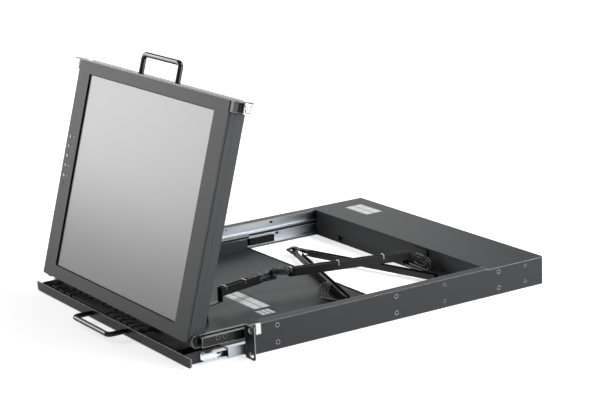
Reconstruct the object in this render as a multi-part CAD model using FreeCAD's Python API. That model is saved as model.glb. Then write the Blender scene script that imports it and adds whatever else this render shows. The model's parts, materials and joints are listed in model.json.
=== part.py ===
import FreeCAD, Part
import math
import os

# Rackmount LCD console drawer, 1U high: a chassis with rack ears, an LCD head that slides out
# and tilts up, a keyboard tray that slides out below it, and two folding cable arms.
# Frame: X to the right, Y to the rear, Z up. The origin is the centre of the four rack ear slots,
# on the ears' front plane. The rest pose has the LCD out and upright and the tray part way out.

V = FreeCAD.Vector
X = V(1, 0, 0)
Y = V(0, 1, 0)
Z = V(0, 0, 1)

# ---------------------------------------------------------------- chassis
HALF_W = 220.0              # side panel outer face
SHEET = 1.5                 # side panel and ear sheet
THIN = 1.2                  # every other sheet
DEPTH = 485.0
TOP = 18.6                  # chassis top
HEIGHT = 40.4
BOTTOM = TOP - HEIGHT
PANEL_IN = HALF_W - SHEET   # side panel inner face

EAR_OUT = 241.3             # ear tip, for a 19 inch rack
EAR_H = 43.65               # one rack unit less its gap
EAR_HOLE_X = 232.55         # slot centres, 465.1 apart
EAR_HOLE_Z = 15.875         # slot centres, 31.75 apart
EAR_SLOT_R = 3.4
EAR_SLOT_LEN = 10.0

FLANGE_IN = 206.5           # inner edge of the top and bottom flanges
FLANGE_Y = 26.0             # top flange starts behind the latch slot
BOX_Y = 390.0               # front wall of the rear compartment
BOX_HALF_W = 206.0
SLOT_Y = (16.0, 23.0)       # latch slot in the side panel
SLOT_DROP = 14.0
FOLD_R = 1.0                # outside radius of the top flange's fold

SCREW_Y = (47.7, 234.0, 407.0)      # slide screws
BRACKET_HOLE_Y = (314.0, 454.0)     # holes for a rack's rear support brackets
ROW_Z = (TOP - 7.6, TOP - 30.5)     # both rows of side holes
SCREW_R = 2.0
BRACKET_HOLE_R = 1.65
BRACKET_CLEAR_R = 2.6       # the same holes in the slides behind
SHANK = 0.55                # a screw's shank radius over its head's
SINK = 0.5                  # a flat head's depth over its radius
SOCKET = 0.4                # its socket's radius over its own

BRACE_Y = ((8.0, 34.0), (236.0, 268.0))         # floor braces
BRACE_SLOT_X = (-120.0, 0.0, 120.0)
BRACE_SLOT_HALF = 25.0
LOOM_PORT = (20.0, 56.0)    # opening in the compartment's front wall
LOOM_PORT_Z = (TOP - 37.0, TOP - 20.2)
GROMMET = (-143.0, TOP - 34.0)      # X and Z in that wall
GROMMET_BORE_R = 2.0
GROMMET_R = 4.1
GROMMET_HOLE_R = 4.2
COVER_RECESS = (-188.0, -127.0, 430.0, 463.0)
RECESS_DEEP = 0.6
VENT_COUNT = 14
VENT_PITCH = 8.0

# ---------------------------------------------------------------- slides
UP_TOP = TOP - 1.8          # upper outer slide
UP_BOT = TOP - 18.2
UP_Y = (28.0, 478.0)
LOW_TOP = TOP - 22.0        # lower outer slide
LOW_BOT = TOP - 38.8
LOW_Y = (5.0, 480.0)
MID_Y = (-24.0, 313.0)      # intermediate member at rest
STOP_Y = (268.0, 312.0)     # its black end stop
CATCH_Y = (321.0, 327.0)    # square hole behind the stop
CATCH_Z = (TOP - 29.6, TOP - 25.6)
LOW_IN_Y = (-58.0, 226.0)   # inner member on the tray
UP_OPEN = 209.0             # open edge of the upper outer slide
UP_LIP_T = 0.8              # its turned lip
UP_LIP_H = 1.6
UP_IN_X = (215.5, 210.4)    # web and open edge of the upper inner member
UP_IN_Y = (-60.0, 110.0)
UP_IN_GAP = 0.5
LOW_OPEN = 209.5
LOW_IN_OPEN = 214.6
LOW_IN_Z = (TOP - 35.6, TOP - 25.2)
LOW_IN_HOLE = (-32.0, TOP - 30.4)
LOW_IN_HOLE_R = 2.4
MID_X = (216.6, 207.5)
MID_Z = (TOP - 37.1, TOP - 23.7)
STOP_X = (206.0, 215.5)
STOP_Z = (TOP - 36.0, TOP - 24.8)
GUARD_IN = 203.6            # black strip between the slides
GUARD_Z = (TOP - 23.4, TOP - 18.7)
GUARD_Y = (14.0, 266.0)

# ---------------------------------------------------------------- LCD head
LEAN = 15.6                 # degrees back from upright at rest
HINGE_Y = -61.1
HINGE_Z = TOP - 7.8
LCD_HALF_W = 203.0
LCD_FRONT = -15.0           # local, from the hinge axis
LCD_BACK = 10.0
LCD_LOW = -5.4
LCD_HIGH = 300.6
SPLIT = -3.0                # bezel and rear cover meet here
FACE_T = 2.2                # bezel front plate
BEZEL_T = 2.0               # its sides
COVER_T = 1.6               # rear cover
SEAM_Y = (-12.7, -11.8)     # shadow groove round the bezel, behind its face
SEAM_DEEP = 0.8
VIEW_W = 337.92             # 17 inch 5:4 active area
VIEW_H = 270.34
VIEW_LOW = 18.3             # border below the active area
STRIP_T = 2.0
LCD_HANDLE = (49.5, 3.75, 30.0)     # half spacing, rod radius, height
BUTTON_X = -192.0
BUTTON_TOP = 108.0          # first button below the LCD's top edge
BUTTON_PITCH = 13.75
BUTTON_COUNT = 5
BUTTON_R = 2.2
PIN_R = 4.0

# ---------------------------------------------------------------- latches, local to the LCD
LATCH_X = (203.2, 216.5)
LATCH_Y = (-2.0, 9.5)
LATCH_LOW = 287.0
BOLT_X = (208.0, 218.2)
BOLT_Y = (0.5, 6.5)
BOLT_Z = (288.4, 293.4)
TAB_X = (208.0, 210.5)      # thumb tab, through the strip
TAB_RISE = 4.0
BOLT_TRAVEL = 3.0
LCD_TRAVEL = 360.7          # slide travel from rest to stowed

# ---------------------------------------------------------------- keyboard tray
TRAY_FRONT = -80.0
LIP_TOP = TOP - 25.4
LIP_BOT = TOP - 39.0
LIP_CORNER = 6.0
PAN_TOP = TOP - 37.5
PAN_REAR = 262.0
WALL_X = (203.0, 204.2)
WALL_TOP = TOP - 24.0
TRAY_HANDLE = (50.0, 3.5, 30.0)
KEY_LEFT = -192.0
KEY_PITCH = 17.6
KEY_COLS = 15
KEY_FRONT = -73.0
KEY_TOP = TOP - 26.4
KEY_SKIRT = TOP - 30.0
KEY_BASE_TOP = TOP - 32.4
KEY_GAP = 1.6

# ---------------------------------------------------------------- cable arms
UP_ROOT = (66.0, 380.0)     # pivots of the upper arm
UP_LINK = 217.0
UP_END = (66.0, -42.0)
UP_BAR = (TOP - 17.0, TOP - 5.0)
UP_TAIL = 115.0             # length of the low, flat end of the front link
UP_TAIL_Z = (TOP - 24.9, TOP - 23.5)
LOW_ROOT = (130.0, 376.0)
LOW_LINK = 270.0
LOW_END = (130.0, 219.0)
LOW_BAR = (TOP - 35.6, TOP - 27.4)
ARM_HALF = 4.5
EYE_R = 6.5
ELBOW_GAP = 24.0            # the troughs stop this far from the elbow
ARM_PIN_R = 2.5
UP_FOLDED = UP_ROOT[1] - UP_END[1] - LCD_TRAVEL      # root to end when stowed
LOW_FOLDED = 66.0           # the same for the lower arm, at its joint's own limit
FOLD_FROM = 15.0            # the inner side is relieved over this part of each link
FOLD_TO = 40.0
FOLD_GAP = 0.2
PIN_GAP = 0.05
UP_CABLE_R = 2.8
LOW_CABLE_R = 1.9


# ---------------------------------------------------------------- helpers
def box(x0, x1, y0, y1, z0, z1):
    return Part.makeBox(x1 - x0, y1 - y0, z1 - z0, V(x0, y0, z0))


def rod(radius, start, direction, length):
    return Part.makeCylinder(radius, length, V(*start), direction)


def slab(points, z0, z1):
    """A flat plate with a polygon outline in plan."""
    wire = Part.makePolygon([V(px, py, z0) for px, py in points] + [V(*points[0], z0)])
    return Part.Face(wire).extrude(V(0, 0, z1 - z0))


def side_slab(points, x0, x1):
    """A plate with a polygon outline in Y and Z."""
    wire = Part.makePolygon([V(x0, py, pz) for py, pz in points] + [V(x0, *points[0])])
    return Part.Face(wire).extrude(V(x1 - x0, 0, 0))


def fuse(first, *rest):
    return first.fuse(list(rest)).removeSplitter()


def cut(first, *tools):
    return first.cut(list(tools))


def mirrored(shape):
    return shape.mirror(V(0, 0, 0), X)


def round_edges(shape, radius, along, picks):
    """Rounds the straight edges along one axis whose middle satisfies picks."""
    chosen = []
    for edge in shape.Edges:
        if edge.Curve.TypeId != "Part::GeomLine":
            continue
        step = edge.Vertexes[-1].Point - edge.Vertexes[0].Point
        middle = (edge.Vertexes[-1].Point + edge.Vertexes[0].Point) * 0.5
        if abs(abs(step.dot(along)) - step.Length) < 1e-6 and picks(middle):
            chosen.append(edge)
    return shape.makeFillet(radius, chosen)


def save(name, *solids):
    shape = solids[0] if len(solids) == 1 else Part.makeCompound(list(solids))
    assert shape.isValid(), name
    shape.exportStep(f"parts/{name}.step")


def save_pair(name, *solids):
    """Writes a right-hand sub-part and its mirror image on the left."""
    save(f"{name}_right", *solids)
    save(f"{name}_left", *[mirrored(s) for s in solids])


def save_both(name, *solids):
    """Writes a right-hand piece and its mirror image as one node of a left and right pair."""
    save(name, *solids, *[mirrored(s) for s in solids])


def channel(x_web, x_open, y_range, z0, z1, sheet):
    """A slide member: a web at x_web and two flanges that reach x_open."""
    outer = box(min(x_web, x_open), max(x_web, x_open), *y_range, z0, z1)
    inward = 1 if x_open > x_web else -1
    start = x_web + inward * sheet
    hollow = box(min(start, x_open), max(start, x_open), *y_range, z0 + sheet, z1 - sheet)
    return cut(outer, hollow)


def screw_x(x, y, z, radius, length):
    """A countersunk screw along X with its flat head at x and its shank inward."""
    head = Part.makeCone(radius * SHANK, radius, radius * SINK, V(x - radius * SINK, y, z), X)
    shank = rod(radius * SHANK, (x - length, y, z), X, length - radius * 0.4)
    socket = rod(radius * SOCKET, (x - 0.5, y, z), X, 0.6)
    return cut(fuse(head, shank), socket)


def screw_z(x, y, z, radius, length):
    """A countersunk screw along Z with its flat head up at z."""
    head = Part.makeCone(radius * SHANK, radius, radius * SINK, V(x, y, z - radius * SINK), Z)
    shank = rod(radius * SHANK, (x, y, z - length), Z, length - radius * 0.4)
    socket = rod(radius * SOCKET, (x, y, z - 0.4), Z, 0.5)
    return cut(fuse(head, shank), socket)


def countersink_x(x, y, z, radius, length):
    """The hole that screw_x fits in."""
    slack = PIN_GAP
    head = Part.makeCone(radius * SHANK + slack, radius + slack, radius * SINK,
                         V(x - radius * SINK, y, z), X)
    return fuse(head, rod(radius * SHANK + slack, (x - length - 1, y, z), X, length + 1))


def handle(half_span, radius, height, base, outward):
    """A U-shaped rod on two feet, its arc corners tangent to legs and bar."""
    bend = radius * 1.8
    along = X
    foot = V(*base)
    a0 = foot - along * half_span
    a1 = a0 + outward * (height - radius - bend)
    top = outward * (height - radius)
    b0 = foot - along * (half_span - bend) + top
    b1 = foot + along * (half_span - bend) + top
    c0 = foot + along * half_span + outward * (height - radius - bend)
    c1 = foot + along * half_span
    diagonal = bend * (1 - math.sqrt(0.5))
    m0 = a0 + outward * (height - radius - diagonal) + along * diagonal
    m1 = c1 + outward * (height - radius - diagonal) - along * diagonal
    path = Part.Wire([
        Part.LineSegment(a0, a1).toShape(),
        Part.Arc(a1, m0, b0).toShape(),
        Part.LineSegment(b0, b1).toShape(),
        Part.Arc(b1, m1, c0).toShape(),
        Part.LineSegment(c0, c1).toShape(),
    ])
    profile = Part.Wire(Part.Circle(a0, outward, radius).toShape())
    return path.makePipeShell([profile], True, False)


def corner_radius(a, b, c, largest):
    """The arc radius at b: 0.45 of the shorter run over the tangent of half the turn."""
    turn = (b - a).getAngle(c - b)
    limit = 0.45 * min((b - a).Length, (c - b).Length) / math.tan(turn / 2)
    return min(largest, limit), turn


def tube(points, radius, largest=1000.0):
    """A cable: straight runs joined by tangent arcs."""
    nodes = [V(*p) for p in points]
    edges = []
    start = nodes[0]
    for a, b, c in zip(nodes, nodes[1:], nodes[2:]):
        bend, turn = corner_radius(a, b, c, largest)
        back = (a - b).normalize()
        on = (c - b).normalize()
        reach = bend * math.tan(turn / 2)
        first = b + back * reach
        last = b + on * reach
        middle = b + (back + on).normalize() * (bend / math.cos(turn / 2) - bend)
        edges.append(Part.LineSegment(start, first).toShape())
        edges.append(Part.Arc(first, middle, last).toShape())
        start = last
    edges.append(Part.LineSegment(start, nodes[-1]).toShape())
    path = Part.Wire(edges)
    profile = Part.Wire(Part.Circle(nodes[0], nodes[1] - nodes[0], radius).toShape())
    solid = path.makePipeShell([profile], True, False)
    ratio = solid.Volume / (math.pi * radius ** 2 * path.Length)
    assert abs(ratio - 1) < 0.01, ratio
    return solid


# ---------------------------------------------------------------- chassis
def side_panel():
    wall = box(PANEL_IN, HALF_W, 0, DEPTH, BOTTOM, TOP)
    wall = cut(wall, box(PANEL_IN - 1, HALF_W + 1, BOX_Y - 2, DEPTH + 1, TOP - THIN, TOP + 1))
    ear = box(PANEL_IN, EAR_OUT, 0, SHEET, -EAR_H / 2, EAR_H / 2)
    ear = round_edges(ear, 3.0, Y, lambda m: m.x > EAR_OUT - 0.1)
    top = box(FLANGE_IN, HALF_W, FLANGE_Y, BOX_Y - 2, TOP - THIN, TOP)
    bottom = box(FLANGE_IN, HALF_W, 4, DEPTH - THIN, BOTTOM, BOTTOM + THIN)
    panel = fuse(wall, ear, top, bottom)
    panel = round_edges(panel, 1.4, Y, lambda m: m.x > HALF_W - 0.1 and abs(m.z - BOTTOM) < 0.1
                        and m.y > 10)
    panel = round_edges(panel, FOLD_R, Y, lambda m: m.x > HALF_W - 0.1 and abs(m.z - TOP) < 0.1)
    holes = [box(PANEL_IN - 1, HALF_W + 1, *SLOT_Y, TOP - SLOT_DROP, TOP + 1)]
    half = EAR_SLOT_LEN / 2 - EAR_SLOT_R
    for z in (-EAR_HOLE_Z, EAR_HOLE_Z):
        holes.append(box(EAR_HOLE_X - half, EAR_HOLE_X + half, -1, SHEET + 1,
                         z - EAR_SLOT_R, z + EAR_SLOT_R))
        for x in (EAR_HOLE_X - half, EAR_HOLE_X + half):
            holes.append(rod(EAR_SLOT_R, (x, -1, z), Y, SHEET + 2))
    for z in ROW_Z:
        for y in SCREW_Y:
            holes.append(countersink_x(HALF_W, y, z, SCREW_R, SHEET))
        for y in BRACKET_HOLE_Y:
            holes.append(rod(BRACKET_HOLE_R, (PANEL_IN - 1, y, z), X, SHEET + 2))
    return cut(panel, *holes)


def latch_strike():
    """A nylon catch clipped into the side panel's slot, with a pocket ahead of it for the bolt."""
    bolt_y = HINGE_Y + LCD_TRAVEL - BOLT_Z[1]
    bolt_z = HINGE_Z + BOLT_Y[0]
    boss = box(216.8, HALF_W - 0.1, SLOT_Y[0] + 0.1, SLOT_Y[1] - 0.1, TOP - 13.8, TOP - 0.6)
    collar = box(216.8, PANEL_IN - 0.1, 4.2, FLANGE_Y - 0.2, TOP - 15.5, TOP - 0.3)
    pocket = box(216.0, PANEL_IN, bolt_y - 0.5, bolt_y + BOLT_Z[1] - BOLT_Z[0] + 0.5,
                 bolt_z - 0.5, bolt_z + BOLT_Y[1] - BOLT_Y[0] + 0.5)
    return cut(fuse(boss, collar), pocket)


def web_holes(z):
    """The screw and bracket holes in an outer slide's web, along one row."""
    screws = [rod(SCREW_R * SHANK + PIN_GAP, (PANEL_IN - 3, y, z), X, 4) for y in SCREW_Y]
    return screws + [rod(BRACKET_CLEAR_R, (PANEL_IN - 3, y, z), X, 4) for y in BRACKET_HOLE_Y]


def slide_outer_upper():
    """A channel whose open edges carry a turned lip."""
    body = channel(PANEL_IN, UP_OPEN, UP_Y, UP_BOT, UP_TOP, THIN)
    lips = [box(UP_OPEN, UP_OPEN + UP_LIP_T, *UP_Y, z, z + UP_LIP_H)
            for z in (UP_TOP - THIN - UP_LIP_H, UP_BOT + THIN)]
    return cut(fuse(body, *lips), *web_holes(ROW_Z[0]))


def slide_outer_lower():
    """A channel with a square catch hole behind the end stop."""
    body = channel(PANEL_IN, LOW_OPEN, LOW_Y, LOW_BOT, LOW_TOP, THIN)
    catch = box(PANEL_IN - THIN - 1, PANEL_IN + 1, *CATCH_Y, *CATCH_Z)
    return cut(body, *web_holes(ROW_Z[1]), catch)


def slide_guard():
    """A folded strip that covers the gap between the two slides."""
    low, top = GUARD_Z
    flat = box(GUARD_IN, PANEL_IN, *GUARD_Y, top - THIN, top)
    skirt = box(GUARD_IN, GUARD_IN + THIN, *GUARD_Y, low, top)
    return fuse(flat, skirt)


def floor_braces():
    braces = []
    for y0, y1 in BRACE_Y:
        plate = box(-FLANGE_IN, FLANGE_IN, y0, y1, BOTTOM, BOTTOM + 1.0)
        slots = [box(x - BRACE_SLOT_HALF, x + BRACE_SLOT_HALF, y0 + 8, y1 - 8,
                     BOTTOM - 1, BOTTOM + 2) for x in BRACE_SLOT_X]
        braces.append(cut(plate, *slots))
    return braces


def rear_compartment():
    floor = box(-FLANGE_IN, FLANGE_IN, BOX_Y, DEPTH, BOTTOM, BOTTOM + THIN)
    front = box(-BOX_HALF_W, BOX_HALF_W, BOX_Y, BOX_Y + THIN, BOTTOM, TOP - THIN)
    sides = [box(s * BOX_HALF_W - (THIN if s > 0 else 0), s * BOX_HALF_W + (0 if s > 0 else THIN),
                 BOX_Y, DEPTH - THIN, BOTTOM, TOP - THIN) for s in (-1, 1)]
    tub = fuse(floor, front, rear_wall(), *sides)
    ports = [box(*LOOM_PORT, BOX_Y - 1, BOX_Y + 3, *LOOM_PORT_Z),
             rod(GROMMET_HOLE_R, (GROMMET[0], BOX_Y - 1, GROMMET[1]), Y, 4)]
    return cut(tub, *ports)


def rear_cover():
    cover = box(-HALF_W, HALF_W, BOX_Y - 2, DEPTH, TOP - THIN, TOP)
    recess = box(*COVER_RECESS, TOP - RECESS_DEEP, TOP + 1)
    shank = SCREW_R * SHANK + PIN_GAP
    holes = [rod(shank, (x, y, TOP - 2), Z, 3) for x, y in COVER_SCREWS]
    sinks = [Part.makeCone(shank, SCREW_R + PIN_GAP, SCREW_R * SINK,
                           V(x, y, TOP - SCREW_R * SINK), Z) for x, y in COVER_SCREWS]
    return cut(cover, recess, *holes, *sinks)


COVER_SCREWS = [(s * 194.0, y) for s in (-1, 1) for y in (403.0, 470.0)]
INLET = (-165.0, -3.0)      # power inlet centre on the rear panel, X and Z
SOCKETS = ((40.0, 31.0, 12.0), (85.0, 31.0, 12.0), (128.0, 16.0, 13.5))


def rear_wall():
    plate = box(-PANEL_IN + 0.1, PANEL_IN - 0.1, DEPTH - THIN, DEPTH, BOTTOM + THIN, TOP - THIN)
    x, z = INLET
    cuts = [box(x - 13.7, x + 13.7, DEPTH - 3, DEPTH + 1, z - 9.8, z + 9.8)]
    for sx, width, tall in SOCKETS:
        cuts.append(box(sx - width / 2, sx + width / 2, DEPTH - 3, DEPTH + 1,
                        z - tall / 2, z + tall / 2))
    for i in range(VENT_COUNT):
        vx = -120 + i * VENT_PITCH
        cuts.append(box(vx, vx + 4, DEPTH - 3, DEPTH + 1, z - 10, z + 10))
    return cut(plate, *cuts)


def power_inlet():
    x, z = INLET
    body = box(x - 13.5, x + 13.5, DEPTH - 25, DEPTH + 1.5, z - 9.6, z + 9.6)
    rim = box(x - 16.5, x + 16.5, DEPTH + 0.05, DEPTH + 1.5, z - 12, z + 12)
    well = box(x - 11.2, x + 11.2, DEPTH - 18, DEPTH + 3, z - 7.2, z + 7.2)
    pins = [box(x + dx - 1, x + dx + 1, DEPTH - 18.5, DEPTH - 3, z + dz - 2, z + dz + 2)
            for dx, dz in ((-7, -1.5), (0, 1.5), (7, -1.5))]
    return cut(fuse(body, rim), well), pins


def socket_shells():
    shells = []
    z = INLET[1]
    for sx, width, tall in SOCKETS:
        shell = box(sx - width / 2 + 0.2, sx + width / 2 - 0.2, DEPTH - 14, DEPTH + 2,
                    z - tall / 2 + 0.2, z + tall / 2 - 0.2)
        mouth = box(sx - width / 2 + 2, sx + width / 2 - 2, DEPTH - 8, DEPTH + 3,
                    z - tall / 2 + 2, z + tall / 2 - 2)
        shells.append(cut(shell, mouth))
    return shells


def controller_board():
    z = BOTTOM + 6.0
    board = box(10, 190, BOX_Y + 10, DEPTH - 16, z, z + 1.6)
    chips = []
    for x, y, w, d, h in ((60, 425, 22, 22, 2.2), (105, 420, 14, 20, 2.6), (150, 430, 16, 16, 2),
                          (30, 440, 10, 14, 2.4), (170, 450, 12, 9, 7), (75, 455, 9, 9, 5)):
        chips.append(box(x, x + w, y, y + d, z + 1.6, z + 1.6 + h))
    posts = [rod(3, (x, y, BOTTOM + THIN), Z, 6.0 - THIN) for x in (16, 184) for y in (405, 462)]
    return fuse(board, *chips), posts


def power_supply():
    case = box(-185, -20, BOX_Y + 8, DEPTH - 32, BOTTOM + 2.0, TOP - 5)
    slots = [box(-175 + i * 12, -168 + i * 12, BOX_Y + 20, DEPTH - 45, TOP - 6, TOP - 4)
             for i in range(12)]
    return cut(case, *slots)


# ---------------------------------------------------------------- LCD carriage
def slide_inner_upper():
    body = channel(*UP_IN_X, UP_IN_Y, UP_BOT + THIN + UP_IN_GAP, UP_TOP - THIN - UP_IN_GAP, THIN)
    holes = [countersink_x(UP_IN_X[0], y, ROW_Z[0], CARRIAGE_SCREW_R, THIN)
             for y in CARRIAGE_SCREW_Y]
    return cut(body, *holes)


CARRIAGE_SCREW_Y = (-37.0, -27.0, 8.0)
CARRIAGE_SCREW_R = SCREW_R + 0.4


def hinge_bracket():
    low = TOP - 18.2
    high = TOP - 1.9
    outline = [(-70, low + 4), (-66, low), (14, low), (14, high - 4), (10, high), (-66, high),
               (-70, high - 4)]
    plate = side_slab(outline, 204.0, 207.0)
    bosses = [rod(2.5, (207.0, y, ROW_Z[0]), X, 7.3) for y in CARRIAGE_SCREW_Y]
    shell = fuse(plate, *bosses)
    taps = [rod(CARRIAGE_SCREW_R * SHANK + PIN_GAP, (203.0, y, ROW_Z[0]), X, 14)
            for y in CARRIAGE_SCREW_Y]
    return cut(shell, rod(PIN_R + PIN_GAP, (203, HINGE_Y, HINGE_Z), X, 5), *taps)


def hinge_pin():
    """The shaft is held in the bracket and the LCD's hinge plate turns on it."""
    shaft = rod(PIN_R, (198.2, HINGE_Y, HINGE_Z), X, 8.8)
    shoulder = rod(PIN_R + 2.2, (207.0, HINGE_Y, HINGE_Z), X, 1.6)
    return fuse(shaft, shoulder)


def crossbar():
    z0 = TOP - 20.5
    y0 = UP_END[1] - 5
    y1 = UP_END[1] + 5
    bar = box(-203.2, 203.2, y0, y1, z0, z0 + 2)
    tabs = [box(s * 202.6 - 0.6, s * 202.6 + 0.6, y0, y1, z0, TOP - 9) for s in (-1, 1)]
    pads = [box(s * 203.0 - 1.0, s * 203.0 + 1.0, y0, y1, TOP - 17.6, TOP - 9) for s in (-1, 1)]
    stub = rod(ARM_PIN_R, (*UP_END, TOP - 23.1), Z, 4)
    return fuse(bar, *tabs, *pads, stub)


# ---------------------------------------------------------------- LCD head, local to its hinge
def place_lcd(shape):
    turned = shape.copy()
    turned.rotate(V(0, 0, 0), X, -LEAN)
    turned.translate(V(0, HINGE_Y, HINGE_Z))
    return turned


def save_lcd(name, *solids):
    save(name, *[place_lcd(s) for s in solids])


VIEW_Z0 = LCD_LOW + VIEW_LOW
VIEW_Z1 = VIEW_Z0 + VIEW_H


def button_heights():
    return [LCD_HIGH - BUTTON_TOP - i * BUTTON_PITCH for i in range(BUTTON_COUNT)]


LED_Z = LCD_HIGH - BUTTON_TOP - BUTTON_COUNT * BUTTON_PITCH + 3


def lcd_bezel():
    shell = box(-LCD_HALF_W, LCD_HALF_W, LCD_FRONT, SPLIT, LCD_LOW, LCD_HIGH)
    shell = round_edges(shell, 2.0, Y, lambda m: True)
    hollow = box(-LCD_HALF_W + BEZEL_T, LCD_HALF_W - BEZEL_T, LCD_FRONT + FACE_T, SPLIT + 1,
                 LCD_LOW + BEZEL_T, LCD_HIGH - BEZEL_T)
    window = box(-VIEW_W / 2 - 1, VIEW_W / 2 + 1, LCD_FRONT - 1, LCD_FRONT + 5,
                 VIEW_Z0 - 1, VIEW_Z1 + 1)
    window = round_edges(window, 1.5, Y, lambda m: True)
    holes = [rod(BUTTON_R + 0.3, (BUTTON_X, LCD_FRONT - 1, z), Y, 5) for z in button_heights()]
    holes.append(rod(1.3, (BUTTON_X, LCD_FRONT - 1, LED_Z), Y, 5))
    holes += [rod(PIN_R + 0.5, (s * 210, 0, 0), X * -s, 20) for s in (-1, 1)]
    ring = cut(box(-LCD_HALF_W - 1, LCD_HALF_W + 1, *SEAM_Y, LCD_LOW - 1, LCD_HIGH + 1),
               box(-LCD_HALF_W + SEAM_DEEP, LCD_HALF_W - SEAM_DEEP, LCD_FRONT, SPLIT,
                   LCD_LOW + SEAM_DEEP, LCD_HIGH - SEAM_DEEP))
    return cut(shell, hollow, window, ring, *holes)


def lcd_rear_cover():
    shell = box(-LCD_HALF_W, LCD_HALF_W, SPLIT, LCD_BACK, LCD_LOW, LCD_HIGH)
    shell = round_edges(shell, 2.0, Y, lambda m: True)
    hollow = box(-LCD_HALF_W + COVER_T, LCD_HALF_W - COVER_T, SPLIT - 1, LCD_BACK - COVER_T,
                 LCD_LOW + COVER_T, LCD_HIGH - COVER_T)
    vents = []
    for row in range(3):
        for i in range(16):
            x = -150 + i * 19.5
            z = 236 + row * 14
            vents.append(box(x, x + 12, LCD_BACK - 3, LCD_BACK + 1, z, z + 3.5))
    gland = box(40, 92, LCD_BACK - 3, LCD_BACK + 1, 6, 18)
    pins = [rod(PIN_R + 0.5, (s * 210, 0, 0), X * -s, 20) for s in (-1, 1)]
    screws = [rod(1.3, (x, LCD_BACK - 4, z), Y, 5) for x, z in LCD_SCREWS]
    return cut(shell, hollow, gland, *vents, *pins, *screws)


LCD_SCREWS = [(x, z) for x in (-190.0, 0.0, 190.0) for z in (24.0, 290.0)]


def lcd_module():
    middle = (VIEW_Z0 + VIEW_Z1) / 2
    body = box(-179.2, 179.2, LCD_FRONT + 3.6, 0.5, middle - 148.2, middle + 148.2)
    return round_edges(body, 1.5, Y, lambda m: True)


def lcd_glass():
    y0 = LCD_FRONT + FACE_T + 0.05
    return box(-VIEW_W / 2 - 1.5, VIEW_W / 2 + 1.5, y0, y0 + 1.3, VIEW_Z0 - 1.5, VIEW_Z1 + 1.5)


def hinge_plate():
    plate = side_slab([(-6.5, -3), (6.5, -3), (6.5, 120), (1.5, 126), (-6.5, 120)], 198.6, 200.6)
    boss = cut(rod(6.0, (196.6, 0, 0), X, 2.2), box(196, 199, -7, 7, -7, -3))
    return cut(fuse(plate, boss), rod(PIN_R + PIN_GAP, (190, 0, 0), X, 15))


def top_strip():
    """The plate over the LCD's top edge, with a folded tab at each end in front of the latch."""
    strip = box(-HALF_W, HALF_W, LCD_FRONT, LCD_BACK, LCD_HIGH, LCD_HIGH + STRIP_T)
    strip = round_edges(strip, 1.5, Z, lambda m: True)
    tabs = [box(s * 206.2 - 3, s * 206.2 + 3, LCD_FRONT + 1, LATCH_Y[0] - 0.2, LATCH_LOW,
                LCD_HIGH + 1) for s in (-1, 1)]
    slots = []
    for s in (-1, 1):
        middle = s * (TAB_X[0] + TAB_X[1] - BOLT_TRAVEL) / 2
        half = (TAB_X[1] - TAB_X[0] + BOLT_TRAVEL) / 2 + 0.4
        slots.append(box(middle - half, middle + half, BOLT_Y[0] - 0.4, BOLT_Y[1] + 0.4,
                         LCD_HIGH - 1, LCD_HIGH + 3))
    return cut(fuse(strip, *tabs), *slots)


def latch_body():
    x0, x1 = LATCH_X
    body = box(x0, x1, *LATCH_Y, LATCH_LOW, LCD_HIGH)
    body = round_edges(body, 1.5, Z, lambda m: m.x > x1 - 0.1)
    inner = BOLT_X[0] - BOLT_TRAVEL - 0.3
    y0 = BOLT_Y[0] - 0.3
    y1 = BOLT_Y[1] + 0.3
    bore = box(inner, x1 + 1, y0, y1, BOLT_Z[0] - 0.3, BOLT_Z[1] + 0.3)
    shaft = box(inner, TAB_X[1] + 0.3, y0, y1, BOLT_Z[0], LCD_HIGH + 1)
    return cut(body, bore, shaft)


def latch_bolt():
    """The sprung bolt and the thumb tab that stands up through the strip."""
    bar = box(*BOLT_X, *BOLT_Y, *BOLT_Z)
    nose = bar.makeChamfer(1.2, [e for e in bar.Edges if abs(e.CenterOfMass.x - BOLT_X[1]) < 1e-6
                                 and abs(e.CenterOfMass.z - BOLT_Z[0]) < 1e-6])
    tab = box(*TAB_X, *BOLT_Y, BOLT_Z[0], LCD_HIGH + STRIP_T + TAB_RISE)
    return fuse(nose, tab)


def button(z):
    cap = rod(BUTTON_R, (BUTTON_X, LCD_FRONT - 0.9, z), Y, 4.0)
    collar = rod(BUTTON_R + 1.0, (BUTTON_X, LCD_FRONT + FACE_T + 0.1, z), Y, 0.8)
    return fuse(cap, collar)


def driver_board():
    board = box(-70, 40, 1.2, 2.6, 60, 150)
    chips = [box(x, x + w, 2.6, 2.6 + h, z, z + d) for x, z, w, d, h in
             ((-40, 95, 20, 20, 2), (-5, 120, 14, 9, 1.6), (10, 70, 22, 9, 4), (-62, 66, 12, 30, 4))]
    return fuse(board, *chips)


def inverter_board():
    board = box(90, 150, 1.2, 2.6, 40, 160)
    coils = [box(x, x + 16, 2.6, 7.4, z, z + 14) for x, z in ((96, 60), (124, 60), (110, 110))]
    return fuse(board, *coils)


# ---------------------------------------------------------------- keyboard tray
LABELS = ((-31.0, 66.0, 107.0, 136.0), (70.0, 95.0, 102.0, 127.0))


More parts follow.
